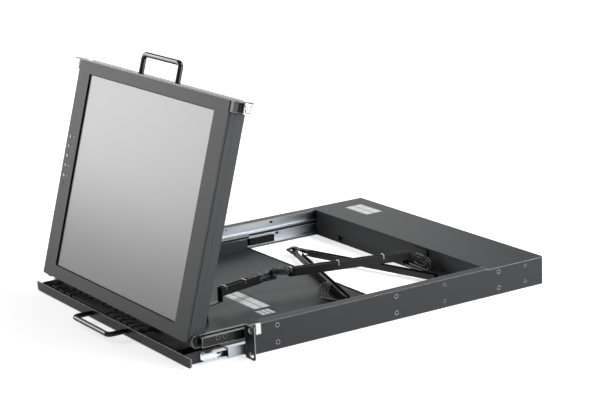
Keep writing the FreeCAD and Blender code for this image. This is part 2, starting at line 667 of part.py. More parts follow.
def tray_pan():
    pan = box(-WALL_X[1], WALL_X[1], TRAY_FRONT + SHEET, PAN_REAR, PAN_TOP - THIN, PAN_TOP)
    walls = [box(s * WALL_X[0] - (THIN if s < 0 else 0), s * WALL_X[0] + (THIN if s > 0 else 0),
                 TRAY_FRONT + SHEET, PAN_REAR, PAN_TOP - THIN, WALL_TOP) for s in (-1, 1)]
    hem = box(-WALL_X[0], WALL_X[0], PAN_REAR - THIN, PAN_REAR, PAN_TOP - THIN, PAN_TOP + 1.0)
    body = fuse(pan, *walls, hem)
    cuts = [box(x0, x1, y0, y1, PAN_TOP - 0.9, PAN_TOP + 1) for x0, x1, y0, y1 in LABELS]
    body = cut(body, *cuts)
    return fuse(body, rod(ARM_PIN_R, (*LOW_END, PAN_TOP - THIN), Z, 2.1))


def tray_lip():
    lip = box(-HALF_W, HALF_W, TRAY_FRONT, TRAY_FRONT + SHEET, LIP_BOT, LIP_TOP)
    lip = round_edges(lip, LIP_CORNER, Y, lambda m: m.z < LIP_BOT + 0.1)
    return round_edges(lip, 1.2, Y, lambda m: m.z > LIP_TOP - 0.1)


def slide_inner_lower():
    body = channel(WALL_X[1], LOW_IN_OPEN, LOW_IN_Y, *LOW_IN_Z, THIN)
    return cut(body, rod(LOW_IN_HOLE_R, (203, *LOW_IN_HOLE), X, 4))


def slide_middle_lower():
    return channel(*MID_X, MID_Y, *MID_Z, 1.0)


def slide_stop():
    body = box(*STOP_X, *STOP_Y, *STOP_Z)
    return round_edges(body, 1.2, X, lambda m: True)


KEY_ROWS = (
    # row pitch, key widths in pitches
    (15.0, [1.0] * 15),
    (17.4, [1.0] * 13 + [2.0]),
    (17.4, [1.5] + [1.0] * 12 + [1.5]),
    (17.4, [1.8] + [1.0] * 11 + [2.2]),
    (17.4, [2.3] + [1.0] * 10 + [2.7]),
    (17.4, [1.2, 1.2, 1.2, None, 1.2, 1.0, 1.0, 1.0, 1.0]),
)
SPACE_UNITS = KEY_COLS - 8.8
KEY_SPAN = sum(pitch for pitch, _ in KEY_ROWS)


def key(x0, x1, y0, y1):
    """A key cap: a block whose sides slope in towards a smaller top."""
    low = Part.makePolygon([V(x0, y0, KEY_SKIRT), V(x1, y0, KEY_SKIRT), V(x1, y1, KEY_SKIRT),
                            V(x0, y1, KEY_SKIRT), V(x0, y0, KEY_SKIRT)])
    a = 1.4
    high = Part.makePolygon([V(x0 + a, y0 + a, KEY_TOP), V(x1 - a, y0 + a, KEY_TOP),
                             V(x1 - a, y1 - a, KEY_TOP), V(x0 + a, y1 - a, KEY_TOP),
                             V(x0 + a, y0 + a, KEY_TOP)])
    return Part.makeLoft([low, high], True, True)


def key_caps():
    """The key caps, row by row from the back, and the space bar apart."""
    caps = []
    space = None
    y1 = KEY_FRONT + KEY_SPAN
    for pitch, widths in KEY_ROWS:
        y0 = y1 - pitch
        x = KEY_LEFT
        for units in widths:
            width = (SPACE_UNITS if units is None else units) * KEY_PITCH
            cap = key(x + KEY_GAP / 2, x + width - KEY_GAP / 2, y0 + KEY_GAP / 2, y1 - KEY_GAP / 2)
            if units is None:
                space = cap
            else:
                caps.append(cap)
            x += width
        y1 = y0
    return caps, space


def keyboard_frame():
    x0 = KEY_LEFT - 2.5
    x1 = KEY_LEFT + KEY_COLS * KEY_PITCH + 2.5
    y0 = KEY_FRONT - 2.0
    y1 = KEY_FRONT + KEY_SPAN + 2.5
    frame = box(x0, x1, y0, y1, PAN_TOP, TOP - 28.6)
    frame = round_edges(frame, 3.0, Z, lambda m: True)
    well = box(x0 + 2, x1 - 2, y0 + 1.7, y1 - 2, KEY_BASE_TOP, TOP)
    pocket = box(x0 + 4, x1 - 4, y0 + 4, y1 - 4, PAN_TOP + 1.6, KEY_BASE_TOP + 0.1)
    return cut(frame, well, pocket)


def keyboard_board():
    x0 = KEY_LEFT + 2
    x1 = KEY_LEFT + KEY_COLS * KEY_PITCH - 2
    return box(x0, x1, KEY_FRONT + 2.5, KEY_FRONT + KEY_SPAN - 2, PAN_TOP + 1.8, PAN_TOP + 4.2)


PAD = (84.0, 162.0, -57.0, -10.0)


def touchpad():
    x0, x1, y0, y1 = PAD
    frame = box(x0 - 5, x1 + 5, -74.5, y1 + 5, PAN_TOP, TOP - 29.5)
    frame = round_edges(frame, 4.0, Z, lambda m: True)
    wells = [box(x0, x1, y0, y1, TOP - 30.1, TOP)]
    for s in (0, 1):
        wells.append(box(*pad_button_box(s, 0.4), TOP - 33.6, TOP))
    return cut(frame, *wells)


def pad_button_box(side, grow):
    x0, x1, _, _ = PAD
    middle = (x0 + x1) / 2
    left = x0 if side == 0 else middle + 0.8
    right = middle - 0.8 if side == 0 else x1
    return left - grow, right + grow, -71.5 - grow, -59.5 + grow


def pad_button(side):
    body = box(*pad_button_box(side, 0.0), TOP - 32.2, TOP - 29.0)
    return round_edges(body, 1.0, Z, lambda m: True)


# ---------------------------------------------------------------- cable arms
def elbow_point(root, end, link, side):
    half = (root[1] - end[1]) / 2
    reach = math.sqrt(link ** 2 - half ** 2)
    return (root[0] + side * reach, (root[1] + end[1]) / 2)


UP_ELBOW = elbow_point(UP_ROOT, UP_END, UP_LINK, -1)
LOW_ELBOW = elbow_point(LOW_ROOT, LOW_END, LOW_LINK, -1)


def along(a, b, t):
    """The point t mm from a towards b."""
    length = math.dist(a, b)
    return (a[0] + (b[0] - a[0]) * t / length, a[1] + (b[1] - a[1]) * t / length)


def strip_between(a, b, half, z0, z1, start=0.0, stop=None):
    length = math.dist(a, b)
    stop = length if stop is None else stop
    ux = (b[0] - a[0]) / length
    uy = (b[1] - a[1]) / length
    p = along(a, b, start)
    q = along(a, b, stop)
    corners = [(p[0] - uy * half, p[1] + ux * half), (q[0] - uy * half, q[1] + ux * half),
               (q[0] + uy * half, q[1] - ux * half), (p[0] + uy * half, p[1] - ux * half)]
    return slab(corners, z0, z1)


def trough(a, b, z0, z1, start, stop):
    """A U-shaped bar, open at the top, that holds the arm's cables."""
    outer = strip_between(a, b, ARM_HALF, z0, z1, start, stop)
    inner = strip_between(a, b, ARM_HALF - 1.0, z0 + 1.0, z1 + 1, start - 1, stop + 1)
    return cut(outer, inner)


def fold_wedge(elbow, end, inner, folded_chord, link):
    """What a link gives up on its inner side so that the two clear each other when folded."""
    slope = math.tan(math.asin(folded_chord / (2 * link)))
    near = (FOLD_FROM, inner * (FOLD_FROM * slope - FOLD_GAP))
    far = (FOLD_TO, inner * (FOLD_TO * slope - FOLD_GAP))
    corners = [near, far, (FOLD_TO, inner * 12.0), (FOLD_FROM, inner * 12.0)]
    return slab([on_link(elbow, end, t, 0, aside)[:2] for t, aside in corners], BOTTOM, TOP)


def eye(point, z0, z1):
    return rod(EYE_R, (*point, z0), Z, z1 - z0)


def bore(point, z0, z1):
    return rod(ARM_PIN_R + PIN_GAP, (*point, z0 - 1), Z, z1 - z0 + 2)


def upper_rear_link():
    z0, z1 = UP_BAR
    bar = trough(UP_ROOT, UP_ELBOW, z0, z1, EYE_R + 2, UP_LINK - ELBOW_GAP)
    tip = strip_between(UP_ROOT, UP_ELBOW, ARM_HALF, z1 - 2, z1, UP_LINK - 30, UP_LINK)
    root = strip_between(UP_ROOT, UP_ELBOW, ARM_HALF, z0, z0 + 2, 0, EYE_R + 3)
    arm = cut(fuse(bar, tip), fold_wedge(UP_ELBOW, UP_ROOT, -1, UP_FOLDED, UP_LINK))
    body = fuse(arm, root, eye(UP_ROOT, z0, z0 + 2), eye(UP_ELBOW, z1 - 2, z1))
    return cut(body, bore(UP_ROOT, z0, z1), bore(UP_ELBOW, z0, z1))


def upper_front_link():
    """A trough behind the LCD, then a low flat tail that passes under it."""
    z0, z1 = UP_BAR
    t0, t1 = UP_TAIL_Z
    stop = UP_LINK - UP_TAIL
    bar = trough(UP_ELBOW, UP_END, z0, z1, ELBOW_GAP, stop)
    tip = strip_between(UP_ELBOW, UP_END, ARM_HALF, z0, z0 + 2, 0, ELBOW_GAP + 1)
    drop = strip_between(UP_ELBOW, UP_END, ARM_HALF, t0, z0 + 2, stop - 1.5, stop)
    tail = strip_between(UP_ELBOW, UP_END, ARM_HALF, t0, t1, stop - 1.5, UP_LINK)
    arm = cut(fuse(bar, tip), fold_wedge(UP_ELBOW, UP_END, 1, UP_FOLDED, UP_LINK))
    body = fuse(arm, drop, tail, eye(UP_ELBOW, z0, z0 + 2), eye(UP_END, t0, t1))
    return cut(body, bore(UP_ELBOW, z0, z1), bore(UP_END, t0, t1))


def elbow_pin(point, z0, z1):
    """A rivet through both eyes, with a head on top."""
    shaft = rod(ARM_PIN_R, (*point, z0 - 0.4), Z, z1 - z0 + 0.4)
    return fuse(shaft, rod(ARM_PIN_R + 1.8, (*point, z1), Z, 0.9))


def root_bracket(root, z0, z1):
    """A bent plate on the compartment's front wall with the arm's pivot pin standing in it."""
    x, y = root
    back = box(x - 16, x + 16, BOX_Y - 2.0, BOX_Y, z0 - 2.4, z1 + 0.6)
    shelf = box(x - 7, x + 7, y - 7, BOX_Y, z0 - 2.4, z0 - 0.4)
    pin = rod(ARM_PIN_R, (x, y, z0 - 2.4), Z, 2.4 + 3.6)
    return fuse(back, shelf, pin)


def lower_rear_link():
    z0, z1 = LOW_BAR
    bar = trough(LOW_ROOT, LOW_ELBOW, z0, z1, EYE_R + 2, LOW_LINK - ELBOW_GAP)
    root = strip_between(LOW_ROOT, LOW_ELBOW, ARM_HALF, z0, z0 + 2, 0, EYE_R + 3)
    tip = strip_between(LOW_ROOT, LOW_ELBOW, ARM_HALF, z1 - 1.9, z1, LOW_LINK - 30, LOW_LINK)
    arm = cut(fuse(bar, tip), fold_wedge(LOW_ELBOW, LOW_ROOT, -1, LOW_FOLDED, LOW_LINK))
    body = fuse(arm, root, eye(LOW_ROOT, z0, z0 + 2), eye(LOW_ELBOW, z1 - 1.9, z1))
    return cut(body, bore(LOW_ROOT, z0, z1), bore(LOW_ELBOW, z0, z1))


def lower_front_link():
    z0, z1 = LOW_BAR
    bar = trough(LOW_ELBOW, LOW_END, z0, z1, ELBOW_GAP, LOW_LINK - EYE_R - 2)
    tip = strip_between(LOW_ELBOW, LOW_END, ARM_HALF, z0, z0 + 2, 0, ELBOW_GAP + 1)
    end = strip_between(LOW_ELBOW, LOW_END, ARM_HALF, z0, z0 + 2, LOW_LINK - 10, LOW_LINK)
    arm = cut(fuse(bar, tip), fold_wedge(LOW_ELBOW, LOW_END, 1, LOW_FOLDED, LOW_LINK))
    body = fuse(arm, end, eye(LOW_ELBOW, z0, z0 + 2), eye(LOW_END, z0, z0 + 2))
    return cut(body, bore(LOW_ELBOW, z0, z1), bore(LOW_END, z0, z1))


def on_link(a, b, t, z, aside=0.0):
    """A point t mm along a link, moved sideways to its left by aside."""
    px, py = along(a, b, t)
    length = math.dist(a, b)
    return (px - (b[1] - a[1]) / length * aside, py + (b[0] - a[0]) / length * aside, z)


CABLE_JOIN = 36.0           # the elbow loop ends this far along the front link


def upper_cables():
    """The sleeved cable in the rear link and round the elbow, and the one in the front link."""
    z = UP_BAR[0] + 2.2 + UP_CABLE_R
    ex, ey = UP_ELBOW
    loop = [on_link(UP_ROOT, UP_ELBOW, EYE_R + 4, z),
            on_link(UP_ROOT, UP_ELBOW, UP_LINK - 70, z),
            on_link(UP_ROOT, UP_ELBOW, UP_LINK - 20, z, -0.4),
            (ex - 6.6, ey + 4, z), (ex - 6.4, ey - 5, z),
            on_link(UP_ELBOW, UP_END, 20, z, -0.4),
            on_link(UP_ELBOW, UP_END, CABLE_JOIN, z)]
    front = rod(UP_CABLE_R, on_link(UP_ELBOW, UP_END, CABLE_JOIN + 1, z),
                V(*on_link(UP_ELBOW, UP_END, 1, 0)) - V(*UP_ELBOW, 0), 59)
    return tube(loop, UP_CABLE_R), front


def lower_cables():
    """As upper_cables, with a wide turn round the outside of the folded elbow."""
    z = LOW_BAR[0] + 2.2 + LOW_CABLE_R
    ex, ey = LOW_ELBOW
    loop = [on_link(LOW_ROOT, LOW_ELBOW, EYE_R + 4, z),
            on_link(LOW_ROOT, LOW_ELBOW, LOW_LINK - 70, z),
            on_link(LOW_ROOT, LOW_ELBOW, LOW_LINK - 20, z, -0.6),
            (ex + 2, ey + 7.5, z), (ex - 9, ey + 6, z), (ex - 9, ey - 6, z), (ex + 2, ey - 7.5, z),
            on_link(LOW_ELBOW, LOW_END, 20, z, -0.6),
            on_link(LOW_ELBOW, LOW_END, CABLE_JOIN, z)]
    front = rod(LOW_CABLE_R, on_link(LOW_ELBOW, LOW_END, CABLE_JOIN + 1, z),
                V(*on_link(LOW_ELBOW, LOW_END, 1, 0)) - V(*LOW_ELBOW, 0), LOW_LINK - EYE_R - 4
                - CABLE_JOIN - 1)
    return tube(loop, LOW_CABLE_R), front


def tray_cable():
    """From beside the arm's pivot along the tray's right side to the touchpad."""
    z = PAN_TOP + LOW_CABLE_R + 0.2
    route = [(146, 206, z + 3), (160, 203, z + 3.5), (175, 193, z + 1), (186, 174, z), (191, 149, z),
             (193.5, 120, z), (194.2, 88, z), (193.2, 55, z), (191, 22, z), (186, -4, z),
             (177, -20, z), (PAD[1] + 6.6, -24, z)]
    return tube(route, LOW_CABLE_R)


def lcd_cable():
    """From the LCD's gland down to the carriage crossbar."""
    x = UP_END[0]
    top = place_lcd(Part.Vertex(V(x, LCD_BACK - 1, 12))).Vertexes[0].Point
    bar = TOP - 18.5
    route = [tuple(top), (x, top.y + 6, top.z - 1), (x, top.y + 9, top.z - 8),
             (x, top.y + 8, bar + 8), (x, top.y + 8, bar + 0.4)]
    return tube(route, 2.4)


LOOMS = (                   # radius, top z, bottom z, bend x, port x, all below TOP
    (1.9, 6.9, 34.2, 104.0, 28.0),
    (1.9, 10.9, 29.7, 98.0, 38.0),
    (1.3, 14.9, 25.2, 92.0, 48.0),
)


def rear_cable_loom():
    """Nested loops from the upper arm's root, round to the right, down and back to the port."""
    cables = []
    for radius, above, below, bend, port in LOOMS:
        high = TOP - above
        low = TOP - below
        route = [(75.0, 374.0, high), (bend - 8, 374.5, high), (bend, 377.0, high - 5),
                 (bend, 380.0, low + 5), (bend - 8, 382.5, low), (port + 8, 383.5, low),
                 (port, 392.0, low), (port, 400.0, low)]
        cables.append(tube(route, radius))
    return cables


# ---------------------------------------------------------------- build
def build_chassis():
    save_pair("side_panel", side_panel())
    save("rear_compartment", rear_compartment())
    save("rear_cover", rear_cover())
    shell, pins = power_inlet()
    save("rear_connectors", shell, *pins, *socket_shells())
    board, posts = controller_board()
    save("controller_board", board, *posts)
    save("power_supply", power_supply())
    save("floor_braces", *floor_braces())
    save_both("latch_strikes", latch_strike())
    save_both("lcd_slides_outer", slide_outer_upper())
    save_both("tray_slides_outer", slide_outer_lower())
    save_both("slide_guards", slide_guard())
    side_screws = [screw_x(HALF_W, y, z, SCREW_R, SHEET + 1.4) for y in SCREW_Y for z in ROW_Z]
    top_screws = [screw_z(x, y, TOP, SCREW_R, 3.5) for x, y in COVER_SCREWS]
    save("chassis_screws", *side_screws, *[mirrored(s) for s in side_screws], *top_screws)
    save("arm_root_brackets", root_bracket(UP_ROOT, *UP_BAR), root_bracket(LOW_ROOT, *LOW_BAR))
    x, z = GROMMET
    grommet = cut(rod(GROMMET_R, (x, BOX_Y - 4, z), Y, 6),
                  rod(GROMMET_BORE_R, (x, BOX_Y - 5, z), Y, 8))
    save("rear_cable_looms", grommet, *rear_cable_loom())


def build_carriage():
    save_both("lcd_slides_inner", slide_inner_upper())
    save_both("hinge_brackets", hinge_bracket())
    save_both("hinge_pins", hinge_pin())
    save("carriage_crossbar", crossbar())
    right = [screw_x(UP_IN_X[0], y, ROW_Z[0], CARRIAGE_SCREW_R, 9) for y in CARRIAGE_SCREW_Y]
    save("carriage_screws", *[s for screw in right for s in (screw, mirrored(screw))])


def build_lcd():
    save_lcd("lcd_bezel", lcd_bezel())
    save_lcd("lcd_rear_cover", lcd_rear_cover())
    save_lcd("lcd_glass", lcd_glass())
    save_lcd("lcd_module", lcd_module())
    save_lcd("lcd_boards", driver_board(), inverter_board(),
             box(BUTTON_X - 8, BUTTON_X + 8, LCD_FRONT + 4.6, LCD_FRONT + 6, LED_Z - 10,
                 LCD_HIGH - BUTTON_TOP + 10))
    save_lcd("lcd_hinge_plates", hinge_plate(), mirrored(hinge_plate()))
    save_lcd("lcd_rear_screws", *[rod(2.4, (x, LCD_BACK, z), Y, 0.8) for x, z in LCD_SCREWS])
    save_lcd("top_strip", top_strip())
    middle = (LCD_FRONT + LCD_BACK) / 2
    save_lcd("lcd_handle", handle(*LCD_HANDLE, (0, middle, LCD_HIGH + STRIP_T), Z))
    save_lcd("latch_bodies", latch_body(), mirrored(latch_body()))
    save_pair("latch_bolt", place_lcd(latch_bolt()))
    for i, z in enumerate(button_heights()):
        save_lcd(f"bezel_button_{i + 1}", button(z))


def build_tray():
    save("tray_pan", tray_pan())
    save("tray_lip", tray_lip())
    save("tray_handle", handle(*TRAY_HANDLE, (0, TRAY_FRONT, TOP - 31.6), Y * -1))
    save_both("tray_slides_inner", slide_inner_lower())
    save_both("tray_slides_middle", slide_middle_lower())
    save_both("tray_slide_stops", slide_stop())
    save("keyboard_frame", keyboard_frame())
    save("keyboard_board", keyboard_board())
    caps, space = key_caps()
    save("keys", *caps)
    save("space_bar", space)
    save("touchpad", touchpad())
    save("touchpad_button_left", pad_button(0))
    save("touchpad_button_right", pad_button(1))


def build_arms():
    save("upper_arm_rear_link", upper_rear_link(), elbow_pin(UP_ELBOW, *UP_BAR))
    save("upper_arm_front_link", upper_front_link())
    save("lower_arm_rear_link", lower_rear_link(), elbow_pin(LOW_ELBOW, *LOW_BAR))
    save("lower_arm_front_link", lower_front_link())
    for name, pair in (("upper_arm", upper_cables()), ("lower_arm", lower_cables())):
        save(f"{name}_rear_cable", pair[0])
        save(f"{name}_front_cable", pair[1])
    save("tray_cable", tray_cable())
    save("lcd_cable", lcd_cable())


def main():
    os.makedirs("parts", exist_ok=True)
    build_chassis()
    build_carriage()
    build_lcd()
    build_tray()
    build_arms()


main()
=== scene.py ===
"""Visual model of a rackmount LCD console drawer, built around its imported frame."""

from __future__ import annotations

import json
import logging
import math
from dataclasses import dataclass
from enum import Enum

import bmesh
import bpy
from mathutils import Matrix, Vector


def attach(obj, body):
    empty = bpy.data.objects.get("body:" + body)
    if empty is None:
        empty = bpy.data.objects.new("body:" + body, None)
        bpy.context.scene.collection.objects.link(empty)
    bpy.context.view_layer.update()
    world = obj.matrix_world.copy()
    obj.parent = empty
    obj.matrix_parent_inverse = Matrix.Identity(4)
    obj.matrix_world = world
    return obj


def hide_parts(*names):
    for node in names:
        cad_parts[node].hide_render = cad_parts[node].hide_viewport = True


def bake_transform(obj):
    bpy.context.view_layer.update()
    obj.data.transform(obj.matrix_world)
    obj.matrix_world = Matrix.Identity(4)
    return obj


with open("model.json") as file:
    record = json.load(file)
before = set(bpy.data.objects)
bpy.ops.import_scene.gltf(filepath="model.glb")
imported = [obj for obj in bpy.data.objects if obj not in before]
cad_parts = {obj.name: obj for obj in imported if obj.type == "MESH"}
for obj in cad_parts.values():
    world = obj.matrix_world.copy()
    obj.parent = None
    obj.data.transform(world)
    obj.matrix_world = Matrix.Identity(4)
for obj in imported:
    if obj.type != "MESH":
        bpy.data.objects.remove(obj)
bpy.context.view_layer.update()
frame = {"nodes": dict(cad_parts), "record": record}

LOG = logging.getLogger("console_drawer")
MM = 0.001
TOP = 18.6                          # the chassis's top face
SMOOTH_BELOW = math.radians(32)     # edges that turn less than this are shaded smooth
GAP = 0.05                          # how far an added piece stands off a face, or a rim sinks in it

Plan = tuple[float, float]
Point = tuple[float, float, float]
Colour = tuple[float, float, float, float]


def to_linear(code: str) -> Colour:
    """Turns an sRGB hex colour to linear.

    Args:
        code: six hex digits after a hash sign.

    Returns:
        Linear red, green and blue, and an alpha of 1.
    """
    parts = [int(code[i : i + 2], 16) / 255 for i in (1, 3, 5)]
    linear = [c / 12.92 if c <= 0.04045 else ((c + 0.055) / 1.055) ** 2.4 for c in parts]
    return (linear[0], linear[1], linear[2], 1.0)


def add_node(
    tree: bpy.types.NodeTree,
    kind: str,
    fields: dict[str, object] | None = None,
    inputs: dict[str | int, object] | None = None,
) -> bpy.types.Node:
    """Adds a node with its settings and links.

    Args:
        tree: the node tree it joins.
        kind: the node's type name.
        fields: attributes to set.
        inputs: input values, or output sockets to link from.

    Returns:
        The new node.
    """
    node = tree.nodes.new(kind)
    for key, value in (fields or {}).items():
        setattr(node, key, value)
    for key, value in (inputs or {}).items():
        if isinstance(value, bpy.types.NodeSocket):
            tree.links.new(value, node.inputs[key])
        else:
            node.inputs[key].default_value = value
    return node


def per_metre(size_mm: float) -> float:
    """The texture scale whose features are size_mm across."""
    return 1.0 / (size_mm * MM)


# ---------------------------------------------------------------- finishes
@dataclass(frozen=True)
class Skin:
    """What a finish works on: its tree and shader, the object coordinates and the softened normal."""

    tree: bpy.types.NodeTree
    shader: bpy.types.Node
    place: bpy.types.NodeSocket
    edge: bpy.types.NodeSocket

    def feed(self, name: str, socket: bpy.types.NodeSocket) -> None:
        """Links a socket to one of the shader's inputs."""
        self.tree.links.new(socket, self.shader.inputs[name])

    def grain(self, size_mm: float, deep_mm: float) -> None:
        """Adds a fine grain in relief.

        Args:
            size_mm: one grain's width.
            deep_mm: its height.
        """
        noise = add_node(self.tree, "ShaderNodeTexNoise", None, {
            "Vector": self.place, "Scale": per_metre(size_mm), "Detail": 2.0})
        self.relief(noise.outputs["Fac"], deep_mm)

    def relief(self, height: bpy.types.NodeSocket, deep_mm: float) -> None:
        """Turns a pattern to relief.

        Args:
            height: the pattern.
            deep_mm: its height.
        """
        bump = add_node(self.tree, "ShaderNodeBump", None, {
            "Height": height, "Distance": deep_mm * MM, "Normal": self.edge})
        self.feed("Normal", bump.outputs["Normal"])


@dataclass(frozen=True)
class Finish:
    """A plain finish; the others add their own surface to it."""

    name: str
    colour: str
    roughness: float = 0.5
    metallic: float = 0.0
    ior: float = 1.5
    edge_mm: float = 0.35
    specular: float = 0.5

    def build(self) -> bpy.types.Material:
        """Makes the material, or finds it if it is made already.

        Returns:
            The material.
        """
        known = bpy.data.materials.get(self.name)
        if known:
            return known
        material = bpy.data.materials.new(self.name)
        material.use_nodes = True
        tree = material.node_tree
        tree.nodes.clear()
        shader = add_node(tree, "ShaderNodeBsdfPrincipled", None, {
            "Base Color": to_linear(self.colour), "Roughness": self.roughness,
            "Metallic": self.metallic, "IOR": self.ior, "Specular IOR Level": self.specular})
        place = add_node(tree, "ShaderNodeTexCoord").outputs["Object"]
        edge = add_node(tree, "ShaderNodeBevel", {"samples": 4},
                        {"Radius": self.edge_mm * MM}).outputs["Normal"]
        self.surface(Skin(tree, shader, place, edge))
        add_node(tree, "ShaderNodeOutputMaterial", None, {"Surface": shader.outputs["BSDF"]})
        return material

    def surface(self, skin: Skin) -> None:
        """Adds nothing but the softened edges."""
        skin.feed("Normal", skin.edge)


@dataclass(frozen=True)
class PowderCoat(Finish):
    """Polyester powder coat, sprayed and baked on steel sheet: a dead even, faintly pebbled black."""

    grain_mm: float = 0.8
    deep_mm: float = 0.02

    def surface(self, skin: Skin) -> None:
        """Adds the pebbled skin; real grit is 0.1 mm, drawn at 0.8 mm so that it shows."""
        skin.grain(self.grain_mm, self.deep_mm)


@dataclass(frozen=True)
class FoldHighlightCoat(PowderCoat):
    """Powder coat on folded sheet, with a painted highlight: its colour is lightened over each fold, so
    that a fold reads as one light line.
    """

    # the painted highlight's colour along each fold
    fold_highlight: str = "#a4a5a7"
    fold_mm: float = 1.8
    flat: float = 0.99      # how far the two normals agree on a flat face
    turned: float = 0.9     # and on a fold

    def surface(self, skin: Skin) -> None:
        """Adds the pebbled skin, and lightens its colour as a painted highlight where a wider softened
        normal leaves the true one.

        Args:
            skin: what the finish works on.
        """
        super().surface(skin)
        true = add_node(skin.tree, "ShaderNodeNewGeometry").outputs["Normal"]
        wide = add_node(skin.tree, "ShaderNodeBevel", {"samples": 6},
                        {"Radius": self.fold_mm * MM}).outputs["Normal"]
        match = add_node(skin.tree, "ShaderNodeVectorMath", {"operation": "DOT_PRODUCT"},
                         {0: wide, 1: true})
        # the painted highlight's mask, kept as thin: 0 on a flat face, rising to 1 on a fold
        thin = add_node(skin.tree, "ShaderNodeMapRange", None, {
            "Value": match.outputs["Value"], "From Min": self.flat, "From Max": self.turned})
        # the coat's colour, lightened on the folds as painted highlight
        fold_highlight_mix = add_node(skin.tree, "ShaderNodeMixRGB", None, {
            "Fac": thin.outputs["Result"], "Color1": to_linear(self.colour),
            "Color2": to_linear(self.fold_highlight)})
        skin.feed("Base Color", fold_highlight_mix.outputs["Color"])


@dataclass(frozen=True)
class ZincPlate(Finish):
    """Bright zinc plate on rolled steel: pale bluish metal with long faint drawing lines."""

    line_mm: float = 0.7
    line_deep_mm: float = 0.01
    drawn: float = 0.02     # the pattern's scale along the slide, so that its lines run long
    cloud_mm: float = 18.0
    clearer: float = 0.06   # how far the cloudiness lowers and raises the roughness
    duller: float = 0.08

    def surface(self, skin: Skin) -> None:
        """Adds lines along the slide, and a slow cloudiness from the plating.

        Args:
            skin: what the finish works on.
        """
        along = add_node(skin.tree, "ShaderNodeMapping", None, {
            "Vector": skin.place, "Scale": (1.0, self.drawn, 1.0)}).outputs["Vector"]
        lines = add_node(skin.tree, "ShaderNodeTexNoise", None, {
            "Vector": along, "Scale": per_metre(self.line_mm), "Detail": 3.0})
        cloud = add_node(skin.tree, "ShaderNodeTexNoise", None, {
            "Vector": skin.place, "Scale": per_metre(self.cloud_mm), "Detail": 1.0})
        rough = add_node(skin.tree, "ShaderNodeMapRange", None, {
            "Value": cloud.outputs["Fac"], "To Min": self.roughness - self.clearer,
            "To Max": self.roughness + self.duller})
        skin.feed("Roughness", rough.outputs["Result"])
        skin.relief(lines.outputs["Fac"], self.line_deep_mm)


@dataclass(frozen=True)
class Moulded(Finish):
    """Plastic moulded in a spark-eroded tool: an even matt skin."""

    grain_mm: float = 0.6
    deep_mm: float = 0.012

    def surface(self, skin: Skin) -> None:
        """Adds the tool's texture, drawn at 0.6 mm in place of 0.08 mm so that it shows."""
        skin.grain(self.grain_mm, self.deep_mm)


@dataclass(frozen=True)
class BraidedSleeve(Finish):
    """Braided PET sleeving over wires: dark yarns crossing paler ones, which reads as a mottle."""

    pale: str = "#6d6e70"
    yarn_mm: float = 1.9
    yarn_deep_mm: float = 0.3
    pale_to: float = 0.25   # the ramp's place where the pale yarn ends
    dark_from: float = 0.6  # and where the dark one is full

    def surface(self, skin: Skin) -> None:
        """Adds yarn crossings, drawn 1.9 mm apart because real ones are too fine to show.

        Args:
            skin: what the finish works on.
        """
        cells = add_node(skin.tree, "ShaderNodeTexVoronoi", None, {
            "Vector": skin.place, "Scale": per_metre(self.yarn_mm)})
        ramp = add_node(skin.tree, "ShaderNodeValToRGB", None, {"Fac": cells.outputs["Distance"]})
        pair = ((self.pale_to, self.pale), (self.dark_from, self.colour))
        for stop, (position, colour) in zip(ramp.color_ramp.elements, pair):
            stop.position = position
            stop.color = to_linear(colour)
        skin.feed("Base Color", ramp.outputs["Color"])
        skin.relief(cells.outputs["Distance"], self.yarn_deep_mm)


@dataclass(frozen=True)
class ScreenFilm(Finish):
    """Hard-coated anti-glare film on an unlit panel: a smooth grey haze with no mirror image."""

    haze_mm: float = 0.4
    haze_deep_mm: float = 0.003

    def surface(self, skin: Skin) -> None:
        """Adds the film's haze, drawn at 0.4 mm because the real one is too fine to show."""
        skin.grain(self.haze_mm, self.haze_deep_mm)


# a soft grey sheen on the flat sheet, with no glints
BLACK_COAT = PowderCoat("black_polyester_powder_coat", "#2a2b2d", 0.5, edge_mm=0.7, specular=0.28)
# a shade paler and smoother, so that the head stands off the chassis
HEAD_COAT = PowderCoat("charcoal_polyester_powder_coat", "#333436", 0.48, edge_mm=0.7, specular=0.3)
# the chassis coat, with a painted highlight line along each fold
PANEL_COAT = FoldHighlightCoat("black_powder_coat_painted_fold_highlight", "#28292b", 0.5, edge_mm=0.7,
                        specular=0.28)
# near black faces that take a soft reflection, with painted highlight lines along the folds
SEMI_GLOSS = FoldHighlightCoat("semi_gloss_black_coat_painted_fold_highlight", "#0e0e0f", 0.28, edge_mm=0.7,
                        specular=0.35)
# a thin pale steel ring round each side screw, a painted highlight on its rim
RIM = Finish("pale_steel_ring_painted_highlight", "#8e9092", 0.35, 0.9)
# black links with a dull streak where they face the light
ARM_COAT = PowderCoat("satin_black_powder_coat", "#111112", 0.4, specular=0.35)
# black heads on which only the rim catches light
BLACK_OXIDE = Finish("black_oxide_steel_screw", "#1b1c1e", 0.3, 0.6)
# a crisp highlight along each handle's rod
ENAMEL = Finish("gloss_black_stoving_enamel", "#101012", 0.16)
# pale channels with soft bands of light and shade along them
ZINC = ZincPlate("bright_zinc_plated_steel", "#bdc2c7", 0.34, 1.0)
# the brightest metal on the object, with slightly blurred reflections
CHROME = Finish("bright_chromium_plate", "#dcdde0", 0.16, 1.0)
# small pale clips across the black arm
STEEL = Finish("plain_turned_steel", "#a9abae", 0.32, 1.0)
# dull pale metal round the screen's module and the power supply
TIN = Finish("tin_plated_steel_sheet", "#b3b5b8", 0.4, 1.0)
# a grey haze that brightens towards the light
FILM = ScreenFilm("anti_glare_hard_coat_film", "#6b6b6c", 0.3, specular=0.9)
# a near-black board under the keys: painted shade between them
KEY_GAP_SHADE_BOARD = Finish("near_black_board_painted_key_shade", "#0d0e0f", 0.4)
# dark green inside the closed cases, if it shows at all
SOLDER_MASK = Finish("green_solder_mask", "#14532d", 0.35)
